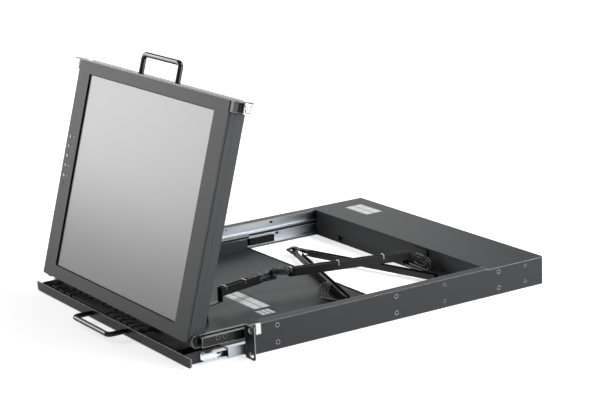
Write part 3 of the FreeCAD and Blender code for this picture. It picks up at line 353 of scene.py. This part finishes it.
# small white strikes where the latches close
NYLON = Moulded("white_moulded_nylon", "#e6e6e2", 0.45)
# flat black that takes almost no reflection
ABS = Moulded("black_moulded_abs", "#0c0c0d", 0.6, specular=0.15)
# five pale dots on the bezel
BUTTON_ABS = Moulded("pale_grey_moulded_abs", "#dededf", 0.45)
# a soft sheen along each cable
JACKET = Finish("black_pvc_cable_jacket", "#19191b", 0.38)
# a mottled grey against the black links
SLEEVE = BraidedSleeve("braided_pet_sleeving", "#1d1d1f", 0.6)
# the plates' dull silver border
LABEL_FOIL = Finish("silver_polyester_label", "#77797b", 0.45)
# and their paler fields
LABEL_FIELD = Finish("white_ink_on_polyester", "#d2d3d4", 0.5)
# crisp white signs on the bezel
SCREEN_INK = Finish("white_screen_ink", "#e9e9ea", 0.5)
# a dark bead with one small glint
DARK_LENS = Finish("smoked_acrylic_lens", "#141618", 0.1)
# an even white ground that shows no texture
PAPER = Finish("white_paper_sweep", "#f2f2f2", 0.9)

SLOT_FINISH: dict[str, Finish] = {
    "black_coat": BLACK_COAT,
    "head_coat": HEAD_COAT,
    "zinc": ZINC,
    "handle_enamel": ENAMEL,
    "latch_chrome": CHROME,
    "screw_steel": BLACK_OXIDE,
    "screen_glass": FILM,
    "tin_plate": TIN,
    "circuit_board": SOLDER_MASK,
    "nylon": NYLON,
    "black_plastic": ABS,
    "button_plastic": BUTTON_ABS,
    "arm_coat": ARM_COAT,
    "cable_sleeve": JACKET,
}

NODE_FINISH: dict[str, Finish] = {
    "side_panel_left": PANEL_COAT,
    "side_panel_right": PANEL_COAT,
    "top_strip": SEMI_GLOSS,
    "lcd_slides_inner": SEMI_GLOSS,
    "hinge_brackets": SEMI_GLOSS,
    "tray_lip": SEMI_GLOSS,
    "slide_guards": SEMI_GLOSS,
    # the board under the keys, near black as painted shade
    "keyboard_board": KEY_GAP_SHADE_BOARD,
}


def dress_frame() -> None:
    """Gives every CAD node its own finish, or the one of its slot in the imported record."""
    for row in frame["record"]["subparts"]:
        node = frame["nodes"][row["node"]]
        node.data.materials.clear()
        finish = NODE_FINISH.get(row["node"], SLOT_FINISH[row["material_slot"]])
        node.data.materials.append(finish.build())
    LOG.info("dressed %d nodes", len(frame["nodes"]))


# ---------------------------------------------------------------- mesh tools
def add_box(mesh: bmesh.types.BMesh, low: Point, high: Point) -> list[bmesh.types.BMVert]:
    """Adds a box.

    Args:
        mesh: the mesh it joins.
        low: its lowest corner in mm.
        high: its highest corner in mm.

    Returns:
        Its eight corners.
    """
    size = [b - a for a, b in zip(low, high)]
    middle = [(a + b) / 2 for a, b in zip(low, high)]
    place = Matrix.Translation(middle) @ Matrix.Diagonal((*size, 1.0))
    return bmesh.ops.create_cube(mesh, size=1.0, matrix=place)["verts"]


def join_in(mesh: bmesh.types.BMesh, one: bmesh.types.BMesh) -> None:
    """Joins one shape to a mesh.

    Args:
        mesh: the mesh it joins.
        one: the shape, which is freed.
    """
    holder = bpy.data.meshes.new("holder")
    one.to_mesh(holder)
    one.free()
    mesh.from_mesh(holder)
    bpy.data.meshes.remove(holder)


def finish_piece(name: str, mesh: bmesh.types.BMesh, finish: Finish, body: str | None,
                 place: Matrix | None = None) -> bpy.types.Object:
    """Turns a mesh in mm to a smooth-shaded piece in metres.

    Args:
        name: the piece's name.
        mesh: its shape, which is freed.
        finish: its material.
        body: the CAD body it rides on, or None.
        place: where it goes, in mm.

    Returns:
        The new object.
    """
    mesh.transform(Matrix.Scale(MM, 4) @ (place or Matrix.Identity(4)))
    bmesh.ops.recalc_face_normals(mesh, faces=mesh.faces)
    data = bpy.data.meshes.new(name)
    mesh.to_mesh(data)
    mesh.free()
    for polygon in data.polygons:
        polygon.use_smooth = True
    data.set_sharp_from_angle(angle=SMOOTH_BELOW)
    data.materials.append(finish.build())
    piece = bpy.data.objects.new(name, data)
    bpy.context.scene.collection.objects.link(piece)
    if body:
        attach(piece, body)
    return piece


def smooth_line(points: list[Point], step: float) -> list[Vector]:
    """A smooth line through control points.

    Args:
        points: the control points in mm.
        step: the spacing along the line in mm.

    Returns:
        Points on a Catmull-Rom line.
    """
    knots = [Vector(p) for p in points]
    knots = [knots[0] * 2 - knots[1], *knots, knots[-1] * 2 - knots[-2]]
    line = []
    for a, b, c, d in zip(knots, knots[1:], knots[2:], knots[3:]):
        count = max(2, round((c - b).length / step))
        for i in range(count):
            t = i / count
            line.append(0.5 * (2 * b + (c - a) * t + (2 * a - 5 * b + 4 * c - d) * t**2
                               + (3 * b - a - 3 * c + d) * t**3))
    return [*line, knots[-2]]


def add_tube(mesh: bmesh.types.BMesh, line: list[Vector], radius: float, sides: int = 14) -> None:
    """Adds a closed tube along a line.

    Args:
        mesh: the mesh it joins.
        line: its centreline in mm.
        radius: its radius in mm.
        sides: faces round it.
    """
    rings = []
    side = (line[1] - line[0]).orthogonal().normalized()
    for i, point in enumerate(line):
        ahead = (line[min(i + 1, len(line) - 1)] - line[max(i - 1, 0)]).normalized()
        side = (side - ahead * side.dot(ahead)).normalized()
        other = ahead.cross(side)
        rings.append([mesh.verts.new(point + radius * (side * math.cos(a) + other * math.sin(a)))
                      for a in (2 * math.pi * k / sides for k in range(sides))])
    for low, high in zip(rings, rings[1:]):
        for k in range(sides):
            mesh.faces.new((low[k], low[k - 1], high[k - 1], high[k]))
    mesh.faces.new(rings[0])
    mesh.faces.new(list(reversed(rings[-1])))


def twisted(line: list[Vector], turn_mm: float, radius: float, start: float) -> list[Vector]:
    """A strand that winds round a line.

    Args:
        line: the bundle's centreline in mm.
        turn_mm: the length of one turn.
        radius: the strand's distance from the centreline.
        start: its angle at the first point.

    Returns:
        The strand's own centreline.
    """
    out = []
    run = 0.0
    side = (line[1] - line[0]).orthogonal().normalized()
    for i, point in enumerate(line):
        run += (point - line[i - 1]).length if i else 0.0
        ahead = (line[min(i + 1, len(line) - 1)] - line[max(i - 1, 0)]).normalized()
        side = (side - ahead * side.dot(ahead)).normalized()
        angle = start + 2 * math.pi * run / turn_mm
        out.append(point + radius * (side * math.cos(angle) + ahead.cross(side) * math.sin(angle)))
    return out


# ---------------------------------------------------------------- LCD head
class Mark(Enum):
    """The plain signs beside the screen's buttons."""

    DOT = "dot"
    BAR = "bar"
    CROSS = "cross"


@dataclass
class Head:
    """The screen, its bezel and what is set in it, local to its hinge."""

    lean: float = 15.6
    hinge: Point = (0.0, -61.1, TOP - 7.8)
    front: float = -15.0
    view_w: float = 337.92
    view_h: float = 270.34
    view_low: float = 12.9
    button_x: float = -192.0
    first_button: float = 192.6
    pitch: float = 13.75
    gasket_w: float = 0.9
    gasket_y: Plan = (1.1, 2.1)         # its front and back, behind the bezel's face
    signs: tuple[Mark, ...] = (Mark.DOT, Mark.CROSS, Mark.BAR, Mark.DOT, Mark.CROSS)
    sign_x: float = 8.0                 # from a button to its sign
    ink_y: Plan = (-0.06, 0.04)
    dot: float = 1.0
    bar: Plan = (1.7, 0.4)              # half length and half width
    lens_z: float = 126.85
    lens_r: float = 1.2
    lens_y: float = 0.4
    latch_x: float = 216.5
    slot_w: float = 1.3
    slot_thick: float = 0.12
    slots: tuple[Point, ...] = ((-0.6, 294.4, 299.4), (2.4, 294.4, 299.4), (7.2, 288.0, 299.4),
                                (4.9, 296.8, 299.4))    # front, bottom and top of each
    body: str = "lcd_head"

    def place(self) -> Matrix:
        """Where the leaning head stands."""
        return Matrix.Translation(self.hinge) @ Matrix.Rotation(-math.radians(self.lean), 4, "X")

    def gasket(self) -> None:
        """Builds the thin dark frame between the bezel and the film."""
        mesh = bmesh.new()
        x, w = self.view_w / 2, self.gasket_w
        z0, z1 = self.view_low, self.view_low + self.view_h
        y0, y1 = (self.front + y for y in self.gasket_y)
        add_box(mesh, (-x - w, y0, z0 - w), (-x, y1, z1 + w))
        add_box(mesh, (x, y0, z0 - w), (x + w, y1, z1 + w))
        add_box(mesh, (-x, y0, z0 - w), (x, y1, z0))
        add_box(mesh, (-x, y0, z1), (x, y1, z1 + w))
        finish_piece("screen_gasket", mesh, ABS, self.body, self.place())

    def marks(self) -> None:
        """Prints a plain sign beside each button."""
        mesh = bmesh.new()
        y0, y1 = (self.front + y for y in self.ink_y)
        long, thin = self.bar
        for i, sign in enumerate(self.signs):
            x, z = self.button_x + self.sign_x, self.first_button - i * self.pitch
            if sign is Mark.DOT:
                add_box(mesh, (x - self.dot, y0, z - self.dot), (x + self.dot, y1, z + self.dot))
                continue
            add_box(mesh, (x - long, y0, z - thin), (x + long, y1, z + thin))
            if sign is Mark.CROSS:
                add_box(mesh, (x - thin, y0, z + thin), (x + thin, y1, z + long))
                add_box(mesh, (x - thin, y0, z - long), (x + thin, y1, z - thin))
        finish_piece("button_marks", mesh, SCREEN_INK, self.body, self.place())

    def power_light(self) -> None:
        """Builds the domed lens in the bezel's last hole."""
        mesh = bmesh.new()
        bmesh.ops.create_uvsphere(mesh, u_segments=20, v_segments=12, radius=self.lens_r)
        spot = (self.button_x, self.front + self.lens_y, self.lens_z)
        place = self.place() @ Matrix.Translation(spot)
        finish_piece("power_light", mesh, DARK_LENS, self.body, place)

    def latch_slot_painted_shade(self) -> None:
        """Builds thin black strips on each latch housing's outer face, painted shade standing for its
        slots.
        """
        mesh = bmesh.new()
        for side in (-1, 1):
            x0, x1 = sorted((side * self.latch_x, side * (self.latch_x + self.slot_thick)))
            for y, z0, z1 in self.slots:
                add_box(mesh, (x0, y, z0), (x1, y + self.slot_w, z1))
        finish_piece("latch_slot_painted_shade", mesh, ABS, self.body, self.place())

    def build(self) -> None:
        """Builds every piece of the head."""
        self.gasket()
        self.latch_slot_painted_shade()
        self.marks()
        self.power_light()
        LOG.info("head built")


# ---------------------------------------------------------------- side screw rims and bracket holes: painted highlight and painted shade
@dataclass
class SideScrewRimsAndHoleShade:
    """Pale rings round the slide screws as painted highlight, and black discs behind the bracket holes
    as painted shade.
    """

    face: float = 220.0
    web: float = 217.3
    screw_y: tuple[float, ...] = (47.7, 234.0, 407.0)
    hole_y: tuple[float, ...] = (314.0, 454.0)
    rows: tuple[float, ...] = (TOP - 7.6, TOP - 30.5)
    rim: Plan = (2.5, 3.2)      # inner and outer radius
    raised: float = 0.12
    # a black disc behind each bracket hole, painted shade
    hole_shade_disc: Plan = (3.0, 0.4)      # radius and thickness
    steps: int = 28

    def ring(self, mesh: bmesh.types.BMesh, x: float, y: float, z: float, side: int) -> None:
        """Adds one flat ring that lies on a side panel.

        Args:
            mesh: the mesh it joins.
            x: the panel's outer face.
            y: its centre along the panel.
            z: its centre's height.
            side: 1 on the right, -1 on the left.
        """
        loops = []
        turns = [math.tau * k / self.steps for k in range(self.steps)]
        for radius, lift in ((self.rim[0], -GAP), (self.rim[0], self.raised),
                             (self.rim[1], self.raised), (self.rim[1], -GAP)):
            loops.append([mesh.verts.new((side * (x + lift), y + radius * math.cos(t),
                                          z + radius * math.sin(t))) for t in turns])
        for i, loop in enumerate(loops):
            other = loops[(i + 1) % len(loops)]
            for k in range(self.steps):
                n = (k + 1) % self.steps
                mesh.faces.new((loop[k], loop[n], other[n], other[k]))

    def build(self) -> None:
        """Builds the painted-highlight rims and the painted-shade discs."""
        rims, hole_shade_discs = bmesh.new(), bmesh.new()
        radius, thick = self.hole_shade_disc
        for side in (-1, 1):
            for z in self.rows:
                for y in self.screw_y:
                    self.ring(rims, self.face, y, z, side)
                for y in self.hole_y:
                    x = side * (self.web - GAP - thick / 2)
                    place = Matrix.Translation((x, y, z)) @ Matrix.Rotation(math.pi / 2, 4, "Y")
                    bmesh.ops.create_cone(hole_shade_discs, cap_ends=True, segments=24, depth=thick,
                                          radius1=radius, radius2=radius, matrix=place)
        # pale rings as painted highlight round the screws, black discs as painted shade in the bracket
        # holes
        finish_piece("screw_rims_painted_highlight", rims, RIM, "chassis")
        finish_piece("bracket_holes_painted_shade", hole_shade_discs, ABS, "chassis")
        LOG.info("side fastenings built")


# ---------------------------------------------------------------- keyboard tray
@dataclass
class Keyboard:
    """Rounded, dished key caps that stand for the plain ones."""

    left: float = -192.0
    pitch: float = 17.6
    front: float = -73.0
    top: float = TOP - 26.4
    skirt: float = TOP - 30.0
    gap: float = 1.6
    slope: float = 1.4
    dish: float = 0.35
    crown_rim: float = 1.6
    rounding: float = 0.55
    sharp: float = 0.6          # edges that turn more than this, in radians, are rounded
    space_units: float = 6.2
    # each row's pitch and its caps' widths in units, from the back; 0 is the space bar
    rows: tuple[tuple[float, tuple[float, ...]], ...] = (
        (15.0, (1.0,) * 15),
        (17.4, (1.0,) * 13 + (2.0,)),
        (17.4, (1.5,) + (1.0,) * 12 + (1.5,)),
        (17.4, (1.8,) + (1.0,) * 11 + (2.2,)),
        (17.4, (2.3,) + (1.0,) * 10 + (2.7,)),
        (17.4, (1.2, 1.2, 1.2, 0.0, 1.2, 1.0, 1.0, 1.0, 1.0)),
    )

    def cap(self, x0: float, x1: float, y0: float, y1: float) -> bmesh.types.BMesh:
        """One cap.

        Args:
            x0: left edge in mm.
            x1: right edge.
            y0: front edge.
            y1: rear edge.

        Returns:
            Its mesh, with a rounded crown whose middle is a little lower.
        """
        mesh = bmesh.new()
        corners = add_box(mesh, (x0, y0, self.skirt), (x1, y1, self.top))
        middle = Vector(((x0 + x1) / 2, (y0 + y1) / 2, 0))
        for vert in corners:
            if vert.co.z > self.skirt + 1:
                vert.co.x += math.copysign(self.slope, middle.x - vert.co.x)
                vert.co.y += math.copysign(self.slope, middle.y - vert.co.y)
        crown = [f for f in mesh.faces if f.normal.z > 0.9]
        bmesh.ops.inset_region(mesh, faces=crown, thickness=self.crown_rim)
        for vert in {v for f in crown for v in f.verts}:
            vert.co.z -= self.dish
        edges = [e for e in mesh.edges if e.calc_face_angle(0.0) > self.sharp]
        bmesh.ops.bevel(mesh, geom=edges, offset=self.rounding, segments=3, profile=0.5, affect="EDGES",
                        clamp_overlap=True)
        return mesh

    def build(self) -> None:
        """Builds the caps as one piece and the space bar as another."""
        caps = bmesh.new()
        space = None
        y1 = self.front + sum(pitch for pitch, _ in self.rows)
        half = self.gap / 2
        for row_pitch, widths in self.rows:
            y0 = y1 - row_pitch
            x = self.left
            for units in widths:
                width = (units or self.space_units) * self.pitch
                one = self.cap(x + half, x + width - half, y0 + half, y1 - half)
                if units:
                    join_in(caps, one)
                else:
                    space = one
                x += width
            y1 = y0
        piece = finish_piece("key_caps_rounded", caps, ABS, "key_caps")
        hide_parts("keys")
        bar = finish_piece("space_bar_rounded", space, ABS, "space")
        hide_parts("space_bar")
        LOG.info("keyboard built")


DECK_RECESS = TOP - 37.5 - 0.9      # the floor of the recesses in the tray's deck
COVER_RECESS = TOP - 0.6            # and of the one in the rear cover


@dataclass(frozen=True)
class Plate:
    """One label plate: its name, its body, its two spans, its recess's floor and its fields."""

    name: str
    body: str
    x: Plan
    y: Plan
    floor: float
    columns: int
    rows: int


@dataclass
class LabelPlates:
    """Blank label plates in their recesses, with plain fields and no lettering."""

    plates: tuple[Plate, ...] = (
        Plate("deck_label_wide", "tray", (-31, 66), (107, 136), DECK_RECESS, 5, 2),
        Plate("deck_label_small", "tray", (70, 95), (102, 127), DECK_RECESS, 1, 3),
        Plate("cover_label", "chassis", (-188, -127), (430, 463), COVER_RECESS, 3, 2),
    )
    thick: float = 0.35
    lift: float = 0.02
    edge: float = 0.4
    border: float = 2.0
    ink: Plan = (-0.02, 0.05)       # a field's bottom and top, from the plate's face
    margin: Plan = (0.7, 1.1)       # round each field, across and along
    parting: float = 0.9
    narrowest: float = 1.0
    splits: Point = (0.35, 0.6, 0.8)    # where a row parts, in turn

    def plate(self, plate: Plate) -> None:
        """Builds one plate and its fields.

        Args:
            plate: what to build.
        """
        (x0, x1), (y0, y1), edge = plate.x, plate.y, self.edge
        mesh = bmesh.new()
        add_box(mesh, (x0 + edge, y0 + edge, plate.floor + self.lift),
                (x1 - edge, y1 - edge, plate.floor + self.thick))
        finish_piece(plate.name, mesh, LABEL_FOIL, plate.body)
        fields = bmesh.new()
        wide = (x1 - x0 - 2 * self.border) / plate.columns
        deep = (y1 - y0 - 2 * self.border) / plate.rows
        low, high = (plate.floor + self.thick + z for z in self.ink)
        across, along = self.margin
        for i in range(plate.columns):
            for j in range(plate.rows):
                x, y = x0 + self.border + i * wide, y0 + self.border + j * deep
                split = wide * self.splits[(i * 2 + j) % len(self.splits)]
                for a, b in ((across, split), (split + self.parting, wide - across)):
                    if b - a > self.narrowest:
                        add_box(fields, (x + a, y + along, low), (x + b, y + deep - along, high))
        finish_piece(plate.name + "_fields", fields, LABEL_FIELD, plate.body)

    def build(self) -> None:
        """Builds the three plates."""
        for plate in self.plates:
            self.plate(plate)
        LOG.info("labels built")


# ---------------------------------------------------------------- cable arms
UPPER_ROOT: Plan = (66.0, 380.0)
UPPER_ELBOW: Plan = (15.325, 169.0)
UPPER_END: Plan = (66.0, -42.0)
LOWER_ROOT: Plan = (130.0, 376.0)
LOWER_END: Plan = (130.0, 219.0)


def flat(spot: Plan) -> Vector:
    """A place in plan as a vector at zero height."""
    return Vector((*spot, 0))


@dataclass
class ArmCables:
    """The sleeved bundles that lie in the arm's troughs and bend round its elbow."""

    name: str
    root: Plan
    end: Plan
    link: float
    low: float
    radius: float
    turn: float
    rear_body: str
    front_body: str
    rear_node: str
    finish: Finish
    outside: tuple[Plan, ...]           # round the elbow, from its pin
    web: float = 2.2                    # from a link's underside to its cable
    first: float = 10.5                 # from the root
    before: Plan = (70.0, 24.0)         # short of the elbow
    after: Plan = (24.0, 36.0)          # past it
    bend: float = 16.0                  # the bend's length each side of the elbow
    strands: int = 4
    strand: float = 0.46                # a strand's radius over the bundle's

    def elbow(self) -> Vector:
        """Finds the elbow from the two pivots and the links' length.

        Returns:
            Its place in plan.
        """
        half = math.dist(self.root, self.end) / 2
        reach = math.sqrt(self.link**2 - half**2)
        return Vector((self.root[0] - reach, (self.root[1] + self.end[1]) / 2, 0))

    def height(self) -> float:
        """The height of the bundle's centreline."""
        return self.low + self.web + self.radius

    def on_link(self, a: Vector, b: Vector, run: float) -> Point:
        """A point on a link.

        Args:
            a: the link's start.
            b: its end.
            run: distance from the start in mm.

        Returns:
            The point at the cable's height.
        """
        spot = a + (b - a).normalized() * run
        return (spot.x, spot.y, self.height())

    def build(self) -> None:
        """Builds the bundle as strands laid round the elbow."""
        root, end, elbow = flat(self.root), flat(self.end), self.elbow()
        route = [self.on_link(root, elbow, self.first)]
        route += [self.on_link(root, elbow, self.link - run) for run in self.before]
        route += [(elbow.x + dx, elbow.y + dy, self.height()) for dx, dy in self.outside]
        route += [self.on_link(elbow, end, run) for run in self.after]
        line = smooth_line(route, 3.0)
        mesh = bmesh.new()
        strand = self.radius * self.strand
        for k in range(self.strands):
            path = twisted(line, self.turn, self.radius - strand, k * math.tau / self.strands)
            add_tube(mesh, path, strand, 10)
        piece = finish_piece(self.name, mesh, self.finish, None)
        start = Vector(self.on_link(elbow, root, self.bend)) * MM
        stop = Vector(self.on_link(elbow, end, self.bend)) * MM
        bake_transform(piece)
        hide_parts(self.rear_node)
        LOG.info("%s built", self.name)


@dataclass
class ArmClips:
    """Sprung steel clips that close the upper arm's troughs."""

    body: str
    name: str
    start: Plan
    stop: Plan
    runs: tuple[float, ...]
    top: float = TOP - 5.0
    half: float = 4.5
    wide: float = 0.8
    thick: float = 0.5
    leg: float = 5.5
    lap: float = 0.3
    stud: Point = (1.7, 1.2, 0.9)       # foot and head radius, and height

    def build(self) -> None:
        """Builds each clip as a band over the bar, with a pressed stud on it."""
        start, wide, outer = flat(self.start), self.wide, self.half + self.thick
        ahead = (flat(self.stop) - start).normalized()
        turn = Matrix((ahead, Vector((-ahead.y, ahead.x, 0)), Vector((0, 0, 1)))).transposed()
        foot, head, tall = self.stud
        mesh = bmesh.new()
        for run in self.runs:
            one = bmesh.new()
            add_box(one, (-wide, -outer, self.top + GAP), (wide, outer, self.top + GAP + self.thick))
            for side in (-1, 1):
                y0, y1 = sorted((side * (self.half + GAP), side * outer))
                add_box(one, (-wide, y0, self.top - self.leg), (wide, y1, self.top + self.lap))
            bmesh.ops.create_cone(one, cap_ends=True, segments=20, radius1=foot, radius2=head,
                                  depth=tall, matrix=Matrix.Translation((0, 0, self.top + tall)))
            spot = start + ahead * run
            one.transform(Matrix.Translation((spot.x, spot.y, 0)) @ turn.to_4x4())
            join_in(mesh, one)
        finish_piece(self.name, mesh, STEEL, self.body)
        LOG.info("%s built", self.name)


@dataclass
class ElbowSleeve:
    """The braided sleeve that rides over the upper elbow."""

    radius: float = 4.3
    height: float = TOP - 7.6
    strands: int = 6
    turn: float = 60.0
    bend: float = 14.0
    # distance along the arm from the elbow, distance out from it, and rise over it
    spots: tuple[Point, ...] = ((-26.0, 0.0, 0.0), (-12.0, 1.5, 1.6), (0.0, 3.2, 2.2),
                                (14.0, 1.5, 2.0), (32.0, 0.0, 1.4), (50.0, 0.0, 0.0))
    winding: float = 0.52       # a strand's distance from the centreline over the sleeve's radius
    strand: float = 0.45        # and its own radius

    def build(self) -> None:
        """Builds the sleeve laid over the elbow."""
        elbow, lift = flat(UPPER_ELBOW), Vector((0, 0, self.height))
        back = (flat(UPPER_ROOT) - elbow).normalized()
        fore = (flat(UPPER_END) - elbow).normalized()
        route = []
        for run, out, rise in self.spots:
            along = back * -run if run < 0 else fore * run
            route.append(elbow + along + lift + Vector((-out, 0, rise)))
        line = smooth_line([tuple(spot) for spot in route], 2.0)
        mesh = bmesh.new()
        for k in range(self.strands):
            path = twisted(line, self.turn, self.radius * self.winding, k * math.tau / self.strands)
            add_tube(mesh, path, self.radius * self.strand, 12)
        piece = finish_piece("elbow_sleeve", mesh, SLEEVE, None)
        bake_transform(piece)
        LOG.info("elbow sleeve built")


@dataclass
class LowerLoops:
    """Slack cables that hang out of the lower arm beside its front pivot."""

    pivot: Plan = LOWER_END
    low: float = TOP - 34.0
    radius: float = 1.6
    strands: int = 4

    def build(self) -> None:
        """Builds the loops, each wider than the last."""
        mesh = bmesh.new()
        for k in range(self.strands):
            out, z = 9.0 + 4.6 * k, self.low + 1.4 * k
            route = [(66.0 - 3 * k, 238.0 - 1.0 * k, z + 4),
                     (70.0 - 3 * k, 231.0 - 0.4 * out, z + 3.5),
                     (86.0, 222.0 - out, z + 2), (106.0, 216.0 - out, z),
                     (124.0, 213.0 - 0.6 * out, z),
                     (self.pivot[0] + 8, self.pivot[1] - 8 - 1.5 * k, z + 1)]
            add_tube(mesh, smooth_line(route, 2.5), self.radius, 12)
        finish_piece("lower_arm_loops", mesh, JACKET, "lower_arm_front")
        LOG.info("lower loops built")


def build_arm_details() -> None:
    """Builds the clips, the elbow's sleeve and the slack loops."""
    ArmClips("upper_arm_rear", "rear_link_clips", UPPER_ROOT, UPPER_ELBOW,
             (51.0, 119.0, 190.0)).build()
    ArmClips("upper_arm_front", "front_link_clips", UPPER_ELBOW, UPPER_END,
             (56.0, 93.0)).build()
    ElbowSleeve().build()
    LowerLoops().build()


def build_arm_cables() -> None:
    """Builds both arms' bundles."""
    ArmCables("upper_arm_bundle", UPPER_ROOT, UPPER_END, link=217.0, low=TOP - 17.0, radius=2.8,
              turn=26.0, rear_body="upper_arm_rear", front_body="upper_arm_front",
              rear_node="upper_arm_rear_cable", finish=SLEEVE,
              outside=((-6.6, 4.0), (-6.4, -5.0))).build()
    ArmCables("lower_arm_bundle", LOWER_ROOT, LOWER_END, link=270.0, low=TOP - 35.6, radius=1.9,
              turn=22.0, rear_body="lower_arm_rear", front_body="lower_arm_front",
              rear_node="lower_arm_rear_cable", finish=JACKET,
              outside=((2.0, 7.5), (-9.0, 6.0), (-9.0, -6.0), (2.0, -7.5))).build()


# ---------------------------------------------------------------- studio
@dataclass(frozen=True)
class SoftBox:
    """One square lamp: its place and aim in metres, its width and its power in watts."""

    name: str
    at: Point
    aim: Point
    size: float
    watts: float


@dataclass
class Studio:
    """Pale floor, soft light and the camera. Its sizes are in metres."""

    fill: float = 0.1                   # the surroundings' strength as light
    shine: float = 0.3                  # and in reflections
    floor_z: float = -0.0222
    floor_half: float = 14.0
    floor_shine: float = 0.5            # the floor's glow in reflections
    floor_near: float = 0.68            # and round the object, where the shadow falls
    clear: Plan = (0.4, 0.9)            # how far from the object the floor turns to full white
    middle: Plan = (0.0, 0.15)          # the object's middle in plan
    lamps: tuple[SoftBox, ...] = (
        SoftBox("right_rear", (1.7, 1.0, 0.5), (0.0, 0.05, 0.1), 1.4, 38.0),
        SoftBox("left_front", (-1.8, -1.1, 0.62), (0.0, -0.05, 0.18), 1.0, 18.0),
        SoftBox("left_rear", (-1.9, 1.4, 0.75), (0.0, 0.15, 0.0), 1.0, 5.0),
        SoftBox("flange_line", (0.5, 0.95, 1.2), (0.1, 0.2, 0.0), 0.4, 15.0),
        SoftBox("lip_line", (-1.6, -0.55, 1.05), (0.0, -0.08, 0.0), 0.35, 3.5),
    )
    camera_at: Point = (2.125, -1.127, 0.7416)
    azimuth: float = 57.253
    elevation: float = 14.392
    roll: float = -2.318
    lens: float = 109.03
    sensor: float = 36.0
    reach: float = 60.0

    def level(self, tree: bpy.types.NodeTree, diffuse: float, glossy: float,
              seen: float) -> bpy.types.NodeSocket:
        """Gives a strength by the kind of ray that meets a surface.

        Args:
            tree: the node tree to add to.
            diffuse: the strength as plain light.
            glossy: the strength in reflections.
            seen: the strength for the camera, directly or through glass.

        Returns:
            The strength's socket.
        """
        path = add_node(tree, "ShaderNodeLightPath")
        shine = add_node(tree, "ShaderNodeMapRange", None, {
            "Value": path.outputs["Is Glossy Ray"], "To Min": diffuse, "To Max": glossy})
        direct = add_node(tree, "ShaderNodeMath", {"operation": "MAXIMUM"}, {
            0: path.outputs["Is Camera Ray"], 1: path.outputs["Is Transmission Ray"]})
        return add_node(tree, "ShaderNodeMapRange", None, {
            "Value": direct.outputs[0], "To Min": shine.outputs["Result"],
            "To Max": seen}).outputs["Result"]

    def world(self) -> None:
        """Sets the white surroundings."""
        world = bpy.data.worlds.new("white_surroundings")
        bpy.context.scene.world = world
        world.use_nodes = True
        tree = world.node_tree
        tree.nodes.clear()
        strength = self.level(tree, self.fill, self.shine, 1.0)
        back = add_node(tree, "ShaderNodeBackground", None, {
            "Color": (1.0, 1.0, 1.0, 1.0), "Strength": strength})
        add_node(tree, "ShaderNodeOutputWorld", None, {"Surface": back.outputs[0]})

    def floor(self) -> None:
        """Lays a white floor that keeps the object's soft shadow."""
        mesh = bmesh.new()
        bmesh.ops.create_grid(mesh, x_segments=1, y_segments=1, size=self.floor_half / MM)
        piece = finish_piece("floor", mesh, PAPER, None,
                             Matrix.Translation((0, 0, self.floor_z / MM)))
        tree = piece.data.materials[0].node_tree
        shader = next(n for n in tree.nodes if n.type == "BSDF_PRINCIPLED")
        shader.inputs["Emission Color"].default_value = (1.0, 1.0, 1.0, 1.0)
        spot = add_node(tree, "ShaderNodeNewGeometry")
        reach = add_node(tree, "ShaderNodeVectorMath", {"operation": "DISTANCE"}, {
            0: spot.outputs["Position"], 1: (*self.middle, self.floor_z)})
        white = add_node(tree, "ShaderNodeMapRange", {"interpolation_type": "SMOOTHSTEP"}, {
            "Value": reach.outputs["Value"], "From Min": self.clear[0],
            "From Max": self.clear[1], "To Min": self.floor_near, "To Max": 1.0})
        glow = add_node(tree, "ShaderNodeMath", {"operation": "MULTIPLY"}, {
            0: self.level(tree, 0.0, self.floor_shine, 1.0), 1: white.outputs["Result"]})
        tree.links.new(glow.outputs[0], shader.inputs["Emission Strength"])

    def lamp(self, box: SoftBox) -> None:
        """Hangs one soft box.

        Args:
            box: what to hang.
        """
        data = bpy.data.lights.new(box.name, "AREA")
        data.shape = "SQUARE"
        data.size = box.size
        data.energy = box.watts
        lamp = bpy.data.objects.new(box.name, data)
        lamp.location = box.at
        facing = Vector(box.aim) - Vector(box.at)
        lamp.rotation_euler = facing.to_track_quat("-Z", "Y").to_euler()
        bpy.context.scene.collection.objects.link(lamp)

    def camera(self) -> None:
        """Sets up the camera."""
        a, e, r = (math.radians(v) for v in (self.azimuth, self.elevation, self.roll))
        back = Vector((math.sin(a) * math.cos(e), -math.cos(a) * math.cos(e), math.sin(e)))
        right = (-back).cross(Vector((0, 0, 1))).normalized()
        up = right.cross(-back)
        across = math.cos(r) * right + math.sin(r) * up
        above = -math.sin(r) * right + math.cos(r) * up
        data = bpy.data.cameras.new("camera")
        data.lens = self.lens
        data.sensor_width = self.sensor
        data.clip_end = self.reach
        camera = bpy.data.objects.new("camera", data)
        turn = Matrix((across, above, back)).transposed().to_4x4()
        camera.matrix_world = Matrix.Translation(self.camera_at) @ turn
        bpy.context.scene.collection.objects.link(camera)
        bpy.context.scene.camera = camera

    def build(self) -> None:
        """Builds the studio."""
        bpy.context.scene.view_settings.view_transform = "Standard"
        self.world()
        self.floor()
        for box in self.lamps:
            self.lamp(box)
        self.camera()
        LOG.info("studio built")


def main() -> None:
    """Builds the object and its studio, in order."""
    logging.basicConfig(level=logging.INFO, format="%(name)s: %(message)s")
    dress_frame()
    Head().build()
    SideScrewRimsAndHoleShade().build()
    Keyboard().build()
    LabelPlates().build()
    build_arm_cables()
    build_arm_details()
    Studio().build()


if __name__ == "__main__":
    main()
